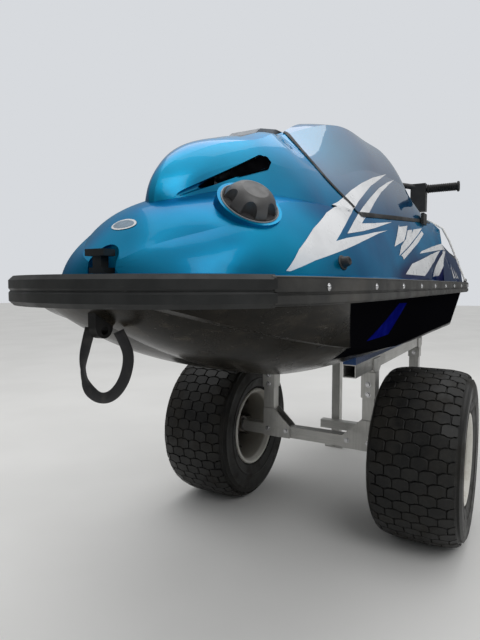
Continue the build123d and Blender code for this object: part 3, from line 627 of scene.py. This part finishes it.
# Vinyl on the flanks: outlines of x and z in metres, the same on both sides
VINYL_LIFT = 0.0008
VINYL_CELL = 0.012
OUTER_BOLT = ((0.842, 0.837), (0.796, 0.879), (0.717, 0.926), (0.628, 0.969), (0.508, 1.010), (0.448, 1.036),
              (0.407, 1.054), (0.321, 1.087), (0.219, 1.120), (0.054, 1.161), (0.170, 1.122), (0.262, 1.089),
              (0.344, 1.052), (0.406, 1.024), (0.446, 1.003), (0.518, 0.972), (0.594, 0.936), (0.655, 0.904),
              (0.597, 0.915), (0.490, 0.930), (0.386, 0.946), (0.254, 0.963), (0.354, 0.946), (0.509, 0.914),
              (0.658, 0.881), (0.757, 0.859), (0.832, 0.8365))
INNER_BOLT = ((-0.025, 1.157), (0.096, 1.126), (0.202, 1.092), (0.298, 1.052), (0.395, 1.011), (0.447, 0.987),
              (0.513, 0.959), (0.584, 0.926), (0.477, 0.941), (0.368, 0.959), (0.167, 0.996), (0.347, 0.974),
              (0.456, 0.962), (0.428, 0.974), (0.394, 0.987), (0.339, 1.012), (0.271, 1.045), (0.195, 1.081),
              (0.087, 1.121))
STRIPS = (
    ((0.102, 0.994), (0.104, 0.988), (-0.006, 1.002), (0.052, 0.969), (0.103, 0.945), (0.242, 0.918),
     (0.174, 0.954)),
    ((0.010, 0.986), (-0.056, 0.994), (-0.028, 0.977), (-0.078, 0.997), (-0.219, 1.014), (-0.137, 0.987),
     (0.049, 0.935), (0.214, 0.894), (0.160, 0.925), (0.078, 0.951)),
    ((-0.204, 1.003), (-0.223, 0.994), (-0.099, 0.955), (0.170, 0.885), (0.176, 0.893), (0.191, 0.896),
     (0.031, 0.936)),
    ((-0.069, 0.915), (-0.112, 0.926), (-0.501, 0.978), (-0.560, 0.966), (-0.600, 0.956), (-0.530, 0.956)),
    ((-0.530, 0.952), (-0.600, 0.952), (-0.541, 0.919), (-0.453, 0.848), (-0.277, 0.841), (-0.460, 0.920)),
    ((-0.472, 0.949), (-0.341, 0.900), (-0.071, 0.841), (0.181, 0.842), (0.075, 0.876)),
)
STERN_SHARDS = (
    ((-0.790, 0.842), (-0.840, 0.842), (-0.730, 0.905)), ((-0.868, 0.842), (-0.912, 0.842), (-0.815, 0.893)),
    ((-0.938, 0.842), (-0.972, 0.842), (-0.885, 0.880)))
HULL_STREAK = ((0.420, 0.668), (0.250, 0.672), (0.140, 0.758), (0.235, 0.760))


def side_decal(name, outline, material, tree=upper):
    """Thin vinyl with the same outline on both sides of the craft."""
    for word, side in SIDES:
        sheet = lay(cut_sheet(outline, VINYL_CELL), lambda x, z: side_touch(tree, x, z, side, VINYL_LIFT),
                    Vector((0, side, 0)))
        piece(name + "_" + word, new_mesh(name, sheet), material, "root")


side_decal("outer_bolt", OUTER_BOLT, white_vinyl)
side_decal("inner_bolt", INNER_BOLT, white_vinyl)
for number, strip in enumerate(STRIPS):
    side_decal("strip_" + str(number), strip, white_vinyl)
for number, shard in enumerate(STERN_SHARDS):
    side_decal("stern_shard_" + str(number), shard, white_vinyl)
side_decal("hull_streak", HULL_STREAK, blue_vinyl, lower)

# Painted shade: a black sheet in the mouth of each scoop; its outline, and three points on the skin that it
# spans, as x and z
MOUTH = ((0.765, 1.041), (0.760, 1.054), (0.732, 1.070), (0.700, 1.086), (0.668, 1.101), (0.658, 1.098),
         (0.655, 1.086), (0.668, 1.068), (0.719, 1.050), (0.745, 1.041))
MOUTH_SKIN = ((0.775, 1.026), (0.700, 1.108), (0.640, 1.060))
# Each ring's share of the outline's size and how deep it sinks
MOUTH_RINGS = ((1.0, 0.0), (0.94, 0.0), (0.87, 0.001), (0.79, 0.002), (0.68, 0.004), (0.34, 0.005))
MOUTH_LIFT = 0.0020
MOUTH_CUTS = 4


def mouth_shade_mesh(side):
    """Black sheet of painted shade round the scoop's opening: a lip on the skin and a field that sinks into
    the hole.
    """
    corners = [from_side(upper, x, z, side)[0] for x, z in MOUTH_SKIN]
    across = (corners[1] - corners[0]).cross(corners[2] - corners[0])
    middle_x, middle_z = [sum(column) / len(MOUTH) for column in zip(*MOUTH)]

    def landing(x, z, sink):
        rise = across.x * (x - corners[0].x) + across.z * (z - corners[0].z)
        sunk = Vector((x, corners[0].y - rise / across.y - side * sink, z))
        place = from_side(upper, x, z, side, MOUTH_LIFT)[0]
        return place if place and (place.y - sunk.y) * side > 0 else sunk

    edge = [(one[0] + (two[0] - one[0]) * k / MOUTH_CUTS, one[1] + (two[1] - one[1]) * k / MOUTH_CUTS)
            for one, two in zip(MOUTH, MOUTH[1:] + MOUTH[:1]) for k in range(MOUTH_CUTS)]
    shape = bmesh.new()
    rings = []
    for share, sink in MOUTH_RINGS:
        rings.append([shape.verts.new(landing(middle_x + (x - middle_x) * share,
                                              middle_z + (z - middle_z) * share, sink)) for x, z in edge])
    bridge(shape, rings)
    shape.faces.new(rings[-1])
    shape.normal_update()
    bmesh.ops.reverse_faces(shape, faces=[f for f in shape.faces if f.normal.y * side < 0])
    return new_mesh("mouth", shape)


for word, side in SIDES:
    piece("scoop_mouth_shade_" + word, mouth_shade_mesh(side), painted_mouth_shade, "root")

# Bare oval badge on the nose
BADGE_PLACE = Vector((0.993, 0.0, 0.920))
BADGE_NORMAL = Vector((0.7, 0, 0.7)).normalized()
BADGE_UP = Vector((-0.7, 0, 0.7)).normalized()
BADGE_ABOVE = 0.1
BADGE_CELL = 0.006


def oval(half_u, half_v, count=36):
    """Outline of an oval, from its two half widths."""
    turns = [2 * math.pi * i / count for i in range(count)]
    return [(half_u * math.cos(t), half_v * math.sin(t)) for t in turns]


def on_badge(u, v, lift):
    """Point on the nose, u across and v up from the badge's middle."""
    above = BADGE_PLACE + Vector((0, u, 0)) + BADGE_UP * v + BADGE_NORMAL * BADGE_ABOVE
    return touch(upper, above, -BADGE_NORMAL, lift)[0]


for name, half_u, half_v, lift, material in (("badge_border", 0.029, 0.0150, 0.0010, white_vinyl),
                                             ("badge_field", 0.024, 0.0110, 0.0014, badge_plastic)):
    sheet = lay(cut_sheet(oval(half_u, half_v), BADGE_CELL), lambda u, v: on_badge(u, v, lift), BADGE_NORMAL)
    piece(name, new_mesh(name, sheet), material, "root")

# Hood gasket: a ribbon down the seam's wave, whose rows are z and x, then along its straight seat
SEAM_WAVE = ((1.240, 0.430), (1.135, 0.470), (1.085, 0.483), (1.040, 0.470), (1.004, 0.446), (0.992, 0.437),
             (0.988, 0.418))
WAVE_HEIGHTS = (0.989, 1.240)
WAVE_TURNS = (112, -4)
WAVE_STEPS = 60
WAVE_ROUNDS = 4
WAVE_MIDDLE = 1.1
WAVE_FOOT = 0.994
POLE_GROOVE = 0.054
HOOD_MIDDLE = (0.1, 1.0)
SEAT_FRONT = (0.436, 0.9885)
SEAT_REAR = (-0.400, 1.058)
SEAT_DROP = 0.0015
SEAT_STEPS = 70
GASKET_HALF = 0.006
GASKET_LIFT = 0.0020
GASKET_CROWN = 0.001


def seam_x(z):
    """The wave's x at a height: a parabola through each three of its points."""
    rows = SEAM_WAVE
    start = 0 if z > rows[2][0] else 2 if z > rows[4][0] else 4
    (a, xa), (b, xb), (c, xc) = rows[start:start + 3]
    return (xa * (z - b) * (z - c) / ((a - b) * (a - c)) + xb * (z - a) * (z - c) / ((b - a) * (b - c))
            + xc * (z - a) * (z - b) / ((c - a) * (c - b)))


def on_wave(side, turn, ahead):
    """Point on the skin ahead of or behind the wave, seen from the middle of the hood at an angle.

    The ray's x depends on the height that it meets, so a few rounds find both.
    """
    low, high = WAVE_HEIGHTS
    out = Vector((0, side * math.cos(turn), math.sin(turn)))
    z = WAVE_MIDDLE
    for _ in range(WAVE_ROUNDS):
        middle = Vector((seam_x(max(low, min(high, z))) + ahead, side * HOOD_MIDDLE[0], HOOD_MIDDLE[1]))
        place = touch(upper, middle + out * OUTSIDE, -out, GASKET_LIFT)[0]
        if place is None:
            return None
        z = place.z
    return place


def gasket_row(pair, out):
    """The pair of points at the ribbon's edges, and one raised between them."""
    return pair[0], (pair[0] + pair[1]) / 2 + out * GASKET_CROWN, pair[1]


def gasket_rows(side):
    """Rows of the ribbon: from the pole's groove down the wave, then aft along the seat."""
    rows = []
    for i in range(WAVE_STEPS):
        turn = math.radians(WAVE_TURNS[0] - i * (WAVE_TURNS[0] - WAVE_TURNS[1]) / (WAVE_STEPS - 1))
        pair = [on_wave(side, turn, ahead) for ahead in (-GASKET_HALF, GASKET_HALF)]
        if None not in pair and pair[0].z >= WAVE_FOOT and abs(pair[0].y) >= POLE_GROOVE:
            middle = Vector((pair[0].x, side * HOOD_MIDDLE[0], HOOD_MIDDLE[1]))
            rows.append(gasket_row(pair, (pair[0] - middle).normalized()))
    for i in range(SEAT_STEPS + 1):
        x = SEAT_FRONT[0] + (SEAT_REAR[0] - SEAT_FRONT[0]) * i / SEAT_STEPS
        z = SEAT_FRONT[1] + (SEAT_REAR[1] - SEAT_FRONT[1]) * i / SEAT_STEPS - SEAT_DROP
        pair = [side_touch(upper, x, z + up, side, GASKET_LIFT) for up in (GASKET_HALF, -GASKET_HALF)]
        if None not in pair:
            rows.append(gasket_row(pair, Vector((0, side, 0))))
    return rows


for word, side in SIDES:
    gasket = bmesh.new()
    bridge(gasket, [[gasket.verts.new(place) for place in row] for row in gasket_rows(side)], closed=False)
    name = "seam_gasket_" + word
    piece(name, new_mesh(name, gasket), seam_rubber, "root")


# Turned pieces
def lathe(profile, origin, axis, segments=48, closed=False):
    """Surface of revolution; profile points are radius and height along the axis."""
    turn = Vector((0, 0, 1)).rotation_difference(Vector(axis).normalized()).to_matrix().to_4x4()
    place = Matrix.Translation(Vector(origin)) @ turn
    angles = [2 * math.pi * i / segments for i in range(segments)]
    shape = bmesh.new()
    rings = []
    for radius, height in profile:
        around = angles if radius else angles[:1]
        rings.append([shape.verts.new(place @ Vector((radius * math.cos(a), radius * math.sin(a), height)))
                      for a in around])
    for low, high in zip(rings, rings[1:] + rings[:1] if closed else rings[1:]):
        for i in range(segments):
            j = (i + 1) % segments
            corners = [low[i % len(low)], low[j % len(low)], high[j % len(high)], high[i % len(high)]]
            corners = list(dict.fromkeys(corners))
            if len(corners) > 2:
                shape.faces.new(corners)
    return shape


def gathered(shapes):
    """One shape of several, which are freed."""
    joined = bmesh.new()
    for shape in shapes:
        joined.from_mesh(new_mesh("turned", shape))
    return joined


# Black ring of painted shade in the recess round the foot of the fuel cap, and a pale ring
CAP_PLACE = (0.840, 0.176, 0.962)
CAP_AXIS = (0.36, 0.60, 0.71)
CAP_SHADE_RING = ((0.0530, 0.0040), (0.0536, 0.0066), (0.0550, 0.0070), (0.0564, 0.0066), (0.0568, 0.0040))
CAP_RING = ((0.0562, 0.0050), (0.0566, 0.0072), (0.0578, 0.0078), (0.0592, 0.0074), (0.0596, 0.0058))

# Black rubber ring that stands for the shadow in the cap's recess
piece("cap_shade_ring", rounded(lathe(CAP_SHADE_RING, CAP_PLACE, CAP_AXIS, 72)), seam_rubber, "root")
piece("cap_ring", rounded(lathe(CAP_RING, CAP_PLACE, CAP_AXIS, 72)), ring_plastic, "root")

# Domed screws with washers along the rubbing strips
SCREW_COUNT = 9
SCREW_FRONT_X = 0.850
SCREW_PITCH = 0.244
SCREW_Z = 0.8075
SCREW_HEAD = ((0, 0.0034), (0.0022, 0.0032), (0.0042, 0.0022), (0.0050, 0.0009), (0.0070, 0.0008),
              (0.0074, 0.0))

for word, side in SIDES:
    rail = surface("rail_" + word)
    seats = [from_side(rail, SCREW_FRONT_X - SCREW_PITCH * count, SCREW_Z, side)[0]
             for count in range(SCREW_COUNT)]
    screws = gathered(lathe(SCREW_HEAD, seat, (0, side, 0), 20) for seat in seats if seat)
    piece("rail_screws_" + word, rounded(screws, 50), stainless, "root")

# Hexagon bolts on the cart's gussets and sleeves: y and z of each, and the faces that they sit on
WASHER = ((0.0095, 0.0), (0.0095, 0.0014), (0.0070, 0.0016))
HEXAGON = ((0.0075, 0.0014), (0.0075, 0.0056), (0.0066, 0.0066), (0, 0.0068))
BOLT_PLACES = ((0.190, 0.278), (0.115, 0.278), (0.186, 0.479), (0.186, 0.445))
FRONT_FACE_X = 0.035
BACK_FACE_X = -0.013
REAR_BOLT = (-0.711, 0.186, 0.501)


def bolt_heads(places, along):
    """Hexagon heads on washers; each place is a point on the face that the bolts sit on."""
    return rounded(gathered(lathe(profile, place, along, segments) for place in places
                            for profile, segments in ((WASHER, 28), (HEXAGON, 6))), 25)


def both_sides(x, places):
    """Port and starboard places on a face at x."""
    return [(x, side * y, z) for y, z in places for side in (1, -1)]


front_bolts = both_sides(FRONT_FACE_X, BOLT_PLACES) + both_sides(REAR_BOLT[0], [REAR_BOLT[1:]])
piece("bolts_front", bolt_heads(front_bolts, (1, 0, 0)), stainless, "root")
back_bolts = both_sides(BACK_FACE_X, BOLT_PLACES)
piece("bolts_back", bolt_heads(back_bolts, (-1, 0, 0)), stainless, "root")

# Tyres: a turned carcass with blocks in staggered rows; the tread's and flank's points are y and radius
TYRE_RADIUS = AXLE[1]
TREAD = ((0, TYRE_RADIUS), (0.062, 0.2720), (0.092, 0.2678), (0.108, 0.2632), (0.122, 0.2540))
FLANK = ((0.086, 0.130), (0.100, 0.141), (0.114, 0.1445), (0.1190, 0.150), (0.1215, 0.153),
         (0.1220, 0.157), (0.1275, 0.178), (0.1295, 0.180), (0.1300, 0.184), (0.1285, 0.187),
         (0.1315, 0.214), (0.1305, 0.228), (0.1318, 0.231), (0.1312, 0.235), (0.1255, 0.246),
         (0.119, 0.2465), (0.106, 0.2570), (0.092, 0.2620), (0.062, 0.2660), (0.030, 0.2665))
TREAD_DEPTH = 0.0065
BLOCK_ROWS = 50
BLOCK_PITCH = 0.048
LUG_Y = 0.109
# Outlines of a block and a shoulder lug: across the tread and round it
BLOCK = ((-0.0226, -0.008), (-0.019, -0.012), (-0.010, -0.0155), (0.010, -0.0155), (0.019, -0.012),
         (0.0226, -0.008), (0.0226, 0.015), (0.014, 0.0155), (0.005, 0.020), (-0.005, 0.020),
         (-0.014, 0.0155), (-0.0226, 0.015))
LUG = ((-0.011, -0.008), (-0.006, -0.013), (0.006, -0.0155), (0.011, -0.0155), (0.011, 0.014),
       (-0.002, 0.016), (-0.011, 0.015))
# Share of a block's outline at its top, below its bevel and at its sunk foot, each with its depth
BLOCK_LEVELS = ((0.93, 0.0), (1.0, 0.0012), (1.04, TREAD_DEPTH + 0.003))


def tread_point(across, turn, drop):
    """Point on the tread: distance across from the middle, angle round the wheel, depth below the top."""
    left = abs(across)
    for (y0, r0), (y1, r1) in zip(TREAD, TREAD[1:]):
        run = math.hypot(y1 - y0, r1 - r0)
        if left <= run or y1 == TREAD[-1][0]:
            slope_y, slope_r = (y1 - y0) / run, (r1 - r0) / run
            break
        left -= run
    y = y0 + slope_y * left + slope_r * drop
    radius = r0 + slope_r * left - slope_y * drop
    y = math.copysign(y, across) if across else 0
    return Vector((radius * math.sin(turn), y, radius * math.cos(turn)))


def add_block(shape, outline, across, turn):
    """Adds one block of the tread, from its top down to its foot in the carcass."""
    centre = Vector((sum(u for u, _ in outline), sum(v for _, v in outline))) / len(outline)
    rings = []
    for share, drop in BLOCK_LEVELS:
        points = [centre + (Vector(point) - centre) * share for point in outline]
        rings.append([shape.verts.new(tread_point(across + point.x, turn + point.y / TYRE_RADIUS, drop))
                      for point in points])
    shape.faces.new(rings[0])
    bridge(shape, rings)


def tyre_mesh():
    """Tyre about its own centre."""
    profile = [(radius, y) for y, radius in FLANK]
    profile += [(radius, -y) for radius, y in reversed(profile)]
    shape = lathe(profile, (0, 0, 0), (0, 1, 0), 96, closed=True)
    for row in range(BLOCK_ROWS):
        turn = 2 * math.pi * row / BLOCK_ROWS
        if row % 2:
            for place in (-1.5, -0.5, 0.5, 1.5):
                add_block(shape, BLOCK, place * BLOCK_PITCH, turn)
            add_block(shape, LUG, LUG_Y, turn)
            add_block(shape, [(-u, v) for u, v in reversed(LUG)], -LUG_Y, turn)
        else:
            for place in (-2, -1, 0, 1, 2):
                add_block(shape, BLOCK, place * BLOCK_PITCH, turn)
    bmesh.ops.recalc_face_normals(shape, faces=shape.faces[:])
    return rounded(shape, 28)


for word, side in SIDES:
    tyre = tyre_mesh()
    tyre.transform(Matrix.Translation((AXLE[0], side * WHEEL_Y, AXLE[1])))
    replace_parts(piece("tread_" + word, tyre, tyre_rubber, "wheel_" + word), "tyre_" + word)

# Rims: a barrel with rolled flanges, a dished web with ribs, a hub and a valve, as radius and y
RIM_LIP = ((0.129, 0.086), (0.139, 0.100), (0.1435, 0.112), (0.1430, 0.119), (0.1395, 0.1215),
           (0.1340, 0.1205), (0.1290, 0.1150), (0.1235, 0.1010), (0.1200, 0.0880))
RIM_OUTER = ((0.1150, 0.0300), (0.1080, 0.0230), (0.0600, 0.0130), (0.0360, 0.0120), (0.0330, 0.0160),
             (0.0320, 0.0640), (0.0290, 0.0660), (0.0128, 0.0660))
RIM_INNER = ((0.0128, -0.0660), (0.0290, -0.0660), (0.0320, -0.0640), (0.0330, 0.0000), (0.0600, 0.0040),
             (0.1080, 0.0140), (0.1150, 0.0090))
RIB = ((0.030, 0.044), (0.075, 0.040), (0.114, 0.052), (0.114, -0.040), (0.075, -0.026), (0.030, -0.030))
RIB_COUNT = 10
RIB_HALF = 0.0030
VALVE = ((0.0058, 0.0), (0.0058, 0.012), (0.0040, 0.016), (0.0040, 0.030), (0.0048, 0.031), (0.0048, 0.040),
         (0, 0.041))
VALVE_PLACE = (0.104, 0.018, 0)


def rim_mesh():
    """Rim about its own centre; the ribs thin out towards the barrel."""
    mirrored = tuple((radius, -y) for radius, y in reversed(RIM_LIP))
    shape = lathe(RIM_LIP + RIM_OUTER + RIM_INNER + mirrored, (0, 0, 0), (0, 1, 0), 80, closed=True)
    for count in range(RIB_COUNT):
        spin = Matrix.Rotation(2 * math.pi * count / RIB_COUNT, 4, "Y")
        faces = [[shape.verts.new(spin @ Vector((radius, y, half * (1.3 - 4 * radius)))) for radius, y in RIB]
                 for half in (-RIB_HALF, RIB_HALF)]
        bridge(shape, faces)
        shape.faces.new(faces[0])
        shape.faces.new(faces[1])
    bmesh.ops.recalc_face_normals(shape, faces=shape.faces[:])
    return rounded(shape, 30)


for word, side in SIDES:
    facing = Matrix.Rotation(0 if side > 0 else math.pi, 4, "Z")
    place = Matrix.Translation((AXLE[0], side * WHEEL_Y, AXLE[1])) @ facing
    rim = rim_mesh()
    rim.transform(place)
    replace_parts(piece("ribbed_rim_" + word, rim, rim_plastic, "wheel_" + word), "rim_" + word)
    valve = rounded(lathe(VALVE, VALVE_PLACE, (0, 1, 0), 16), 30)
    valve.transform(place)
    piece("valve_" + word, valve, seam_rubber, "wheel_" + word)

# Cone plugs in the deck's sides
PLUG_X = 0.655
PLUG_Z = 0.858
PLUG = ((0.0165, -0.002), (0.0165, 0.001), (0.0150, 0.0025), (0.0125, 0.0030), (0.0100, 0.0150),
        (0.0086, 0.0170), (0.0050, 0.0176), (0.0040, 0.0160), (0, 0.0158))

plugs = gathered(lathe(PLUG, *from_side(upper, PLUG_X, PLUG_Z, side), 36) for _, side in SIDES)
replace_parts(piece("cone_plugs", rounded(plugs), black_plastic, "root"), "side_plugs")

# Thin white lashing from the hood's rear corner, over the deck's corner, down to a knot at the rail
LASH_ROUTE = ((-0.400, 0.262, 1.078), (-0.505, 0.326, 1.041), (-0.600, 0.340, 0.998), (-1.085, 0.356, 0.832))
LASH_RADIUS = 0.0042
LASH_CUTS = 12
KNOT = ((0, -0.012), (0.005, -0.010), (0.0075, -0.004), (0.0070, 0.0), (0.0078, 0.004), (0.005, 0.010),
        (0, 0.012))


def tube_mesh(line, radius, sides=8):
    """Round cord along a line."""
    shape = bmesh.new()
    turns = [2 * math.pi * k / sides for k in range(sides)]
    rings = []
    for place, along in directed(line):
        wide = along.cross(Vector((0, 0, 1))).normalized()
        tall = wide.cross(along)
        rings.append([shape.verts.new(place + (wide * math.cos(t) + tall * math.sin(t)) * radius)
                      for t in turns])
    return rounded(sealed(shape, rings), 50)


lash_line = [Vector(start).lerp(Vector(end), k / LASH_CUTS)
             for start, end in zip(LASH_ROUTE, LASH_ROUTE[1:]) for k in range(LASH_CUTS)]
lash_line.append(Vector(LASH_ROUTE[-1]))
piece("lashing", tube_mesh(lash_line, LASH_RADIUS), lash_cord, "root")
knot = rounded(lathe(KNOT, LASH_ROUTE[-1], (0.2, 0.1, 1), 16), 40)
piece("lashing_knot", knot, seam_rubber, "root")

# Ribbed mat and pads; stations are x and the height of the underside there
MAT_STATIONS = ((-1.121, 0.862), (-0.474, 0.862))
MAT_HALF_WIDTH = 0.215
PAD_STATIONS = ((-0.500, 0.9762), (-0.790, 0.9485), (-1.096, 0.9337))
PAD_Y = (0.292, 0.318)


def ribbed_pad(name, stations, low_y, high_y, thick, pitch, depth):
    """Pad along the craft with ribs on top, a pitch apart and as deep as depth."""
    profile = [(low_y, 0)]
    count = round((high_y - low_y) / pitch)
    step = (high_y - low_y) / count
    for i in range(count):
        for part, height in ((0.08, thick - depth), (0.2, thick), (0.8, thick), (0.92, thick - depth)):
            profile.append((low_y + step * (i + part), height))
    profile.append((high_y, 0))
    shape = bmesh.new()
    rings = [[shape.verts.new((x, y, z + up)) for y, up in profile] for x, z in stations]
    return piece(name, rounded(sealed(shape, rings), 20), mat_rubber, "root")


mat = ribbed_pad("ribbed_mat", MAT_STATIONS, -MAT_HALF_WIDTH, MAT_HALF_WIDTH, 0.0125, 0.0119, 0.003)
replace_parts(mat, "tray_mat")
for word, side in SIDES:
    low, high = sorted(side * y for y in PAD_Y)
    ribbed_pad("ribbed_pad_" + word, PAD_STATIONS, low, high, 0.0105, 0.0065, 0.002)

# Ringed grips on the bar
BAR_PLACE = (-0.556, 0, 1.212)
GRIP_ENDS = (0.256, 0.380)
GRIP_RINGS = 14


def grip_profile():
    """Radius and distance out along the bar: a collar, rings and a flared end."""
    start, end = GRIP_ENDS
    profile = [(0.0112, start), (0.0150, start), (0.0178, start + 0.002), (0.0178, start + 0.006),
               (0.0155, start + 0.007)]
    for i in range(GRIP_RINGS):
        at = start + 0.009 + i * (end - start - 0.022) / GRIP_RINGS
        profile += [(0.0152, at), (0.0168, at + 0.0018), (0.0168, at + 0.0048), (0.0152, at + 0.0062)]
    return profile + [(0.0155, end - 0.010), (0.0205, end - 0.008), (0.0212, end - 0.002), (0.0190, end),
                      (0, end + 0.0015)]


for word, side in SIDES:
    grip = rounded(lathe(grip_profile(), BAR_PLACE, (0, side, 0), 40), 30)
    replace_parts(piece("ringed_grip_" + word, grip, grip_rubber, "bars"), "grip_" + word)

# Painted shade: a black capsule in the hole behind each scoop, from the scoop's tip towards its mouth
SCOOP_TIP = (0.892, 0.042, 0.986)
SCOOP_MOUTH = (0.672, 0.113, 1.084)
SHADE_PLUG_START = 0.62
SHADE_PLUG_SHARE = 0.46
SHADE_PLUG_INWARD = 0.036
SHADE_PLUG_DOWN = 0.005

for word, side in SIDES:
    tip, mouth = [Vector((x, side * y, z)) for x, y, z in (SCOOP_TIP, SCOOP_MOUTH)]
    start = tip.lerp(mouth, SHADE_PLUG_START) - Vector((0, side * SHADE_PLUG_INWARD, SHADE_PLUG_DOWN))
    reach = (mouth - tip).length * SHADE_PLUG_SHARE
    shade_plug = ((0, -0.004), (0.010, 0.0), (0.015, 0.02), (0.018, reach * 0.5), (0.020, reach),
            (0.012, reach + 0.008), (0, reach + 0.010))
    # Black plastic capsule that stands for the shade inside the scoop's hole
    piece("scoop_shade_plug_" + word, rounded(lathe(shade_plug, start, mouth - tip, 32)), black_plastic, "root")

# Floor
bpy.ops.mesh.primitive_plane_add(size=40, location=(0, 0, 0))
floor = bpy.context.object
floor.name = "floor"
floor.data.materials.append(make_floor())

# Soft dome: bright overhead and dim near the horizon; the backdrop itself stays pale
DOME_UP = (-0.1, 0.1, 1.0)
DOME_STOPS = ((0.05, (0.0760, 0.0784, 0.0800)), (0.35, (0.380, 0.392, 0.400)), (1.0, (1.0, 1.0, 1.0)))
BACKDROP = (0.68, 0.70, 0.73, 1)

world = bpy.data.worlds.new("studio")
world.use_nodes = True
sky = world.node_tree
tilt = sky.nodes.new("ShaderNodeVectorMath")
tilt.operation = "DOT_PRODUCT"
tilt.inputs[1].default_value = DOME_UP
sky.links.new(sky.nodes.new("ShaderNodeTexCoord").outputs["Generated"], tilt.inputs[0])
dome = sky.nodes.new("ShaderNodeValToRGB")
set_stops(dome.color_ramp, DOME_STOPS)
sky.links.new(tilt.outputs["Value"], dome.inputs["Fac"])
pale = sky.nodes.new("ShaderNodeMix")
pale.data_type = "RGBA"
pale.inputs[7].default_value = BACKDROP
sky.links.new(sky.nodes.new("ShaderNodeLightPath").outputs["Is Camera Ray"], pale.inputs["Factor"])
sky.links.new(dome.outputs["Color"], pale.inputs[6])
sky.links.new(pale.outputs[2], sky.nodes["Background"].inputs["Color"])
scene.world = world

# Two large soft lights, aimed at the craft
LIGHT_TARGET = Vector((0, 0, 0.8))


def add_area(name, place, size, power):
    """A square light of a size in metres and a power in watts."""
    light = bpy.data.lights.new(name, "AREA")
    light.energy = power
    light.size = size
    obj = bpy.data.objects.new(name, light)
    obj.location = place
    obj.rotation_euler = (LIGHT_TARGET - Vector(place)).to_track_quat("-Z", "Y").to_euler()
    scene.collection.objects.link(obj)


add_area("key", (2.2, 2.6, 3.4), 2.2, 36)
add_area("top", (-0.6, -0.4, 4.2), 3.5, 42)
scene.view_settings.view_transform = "Standard"
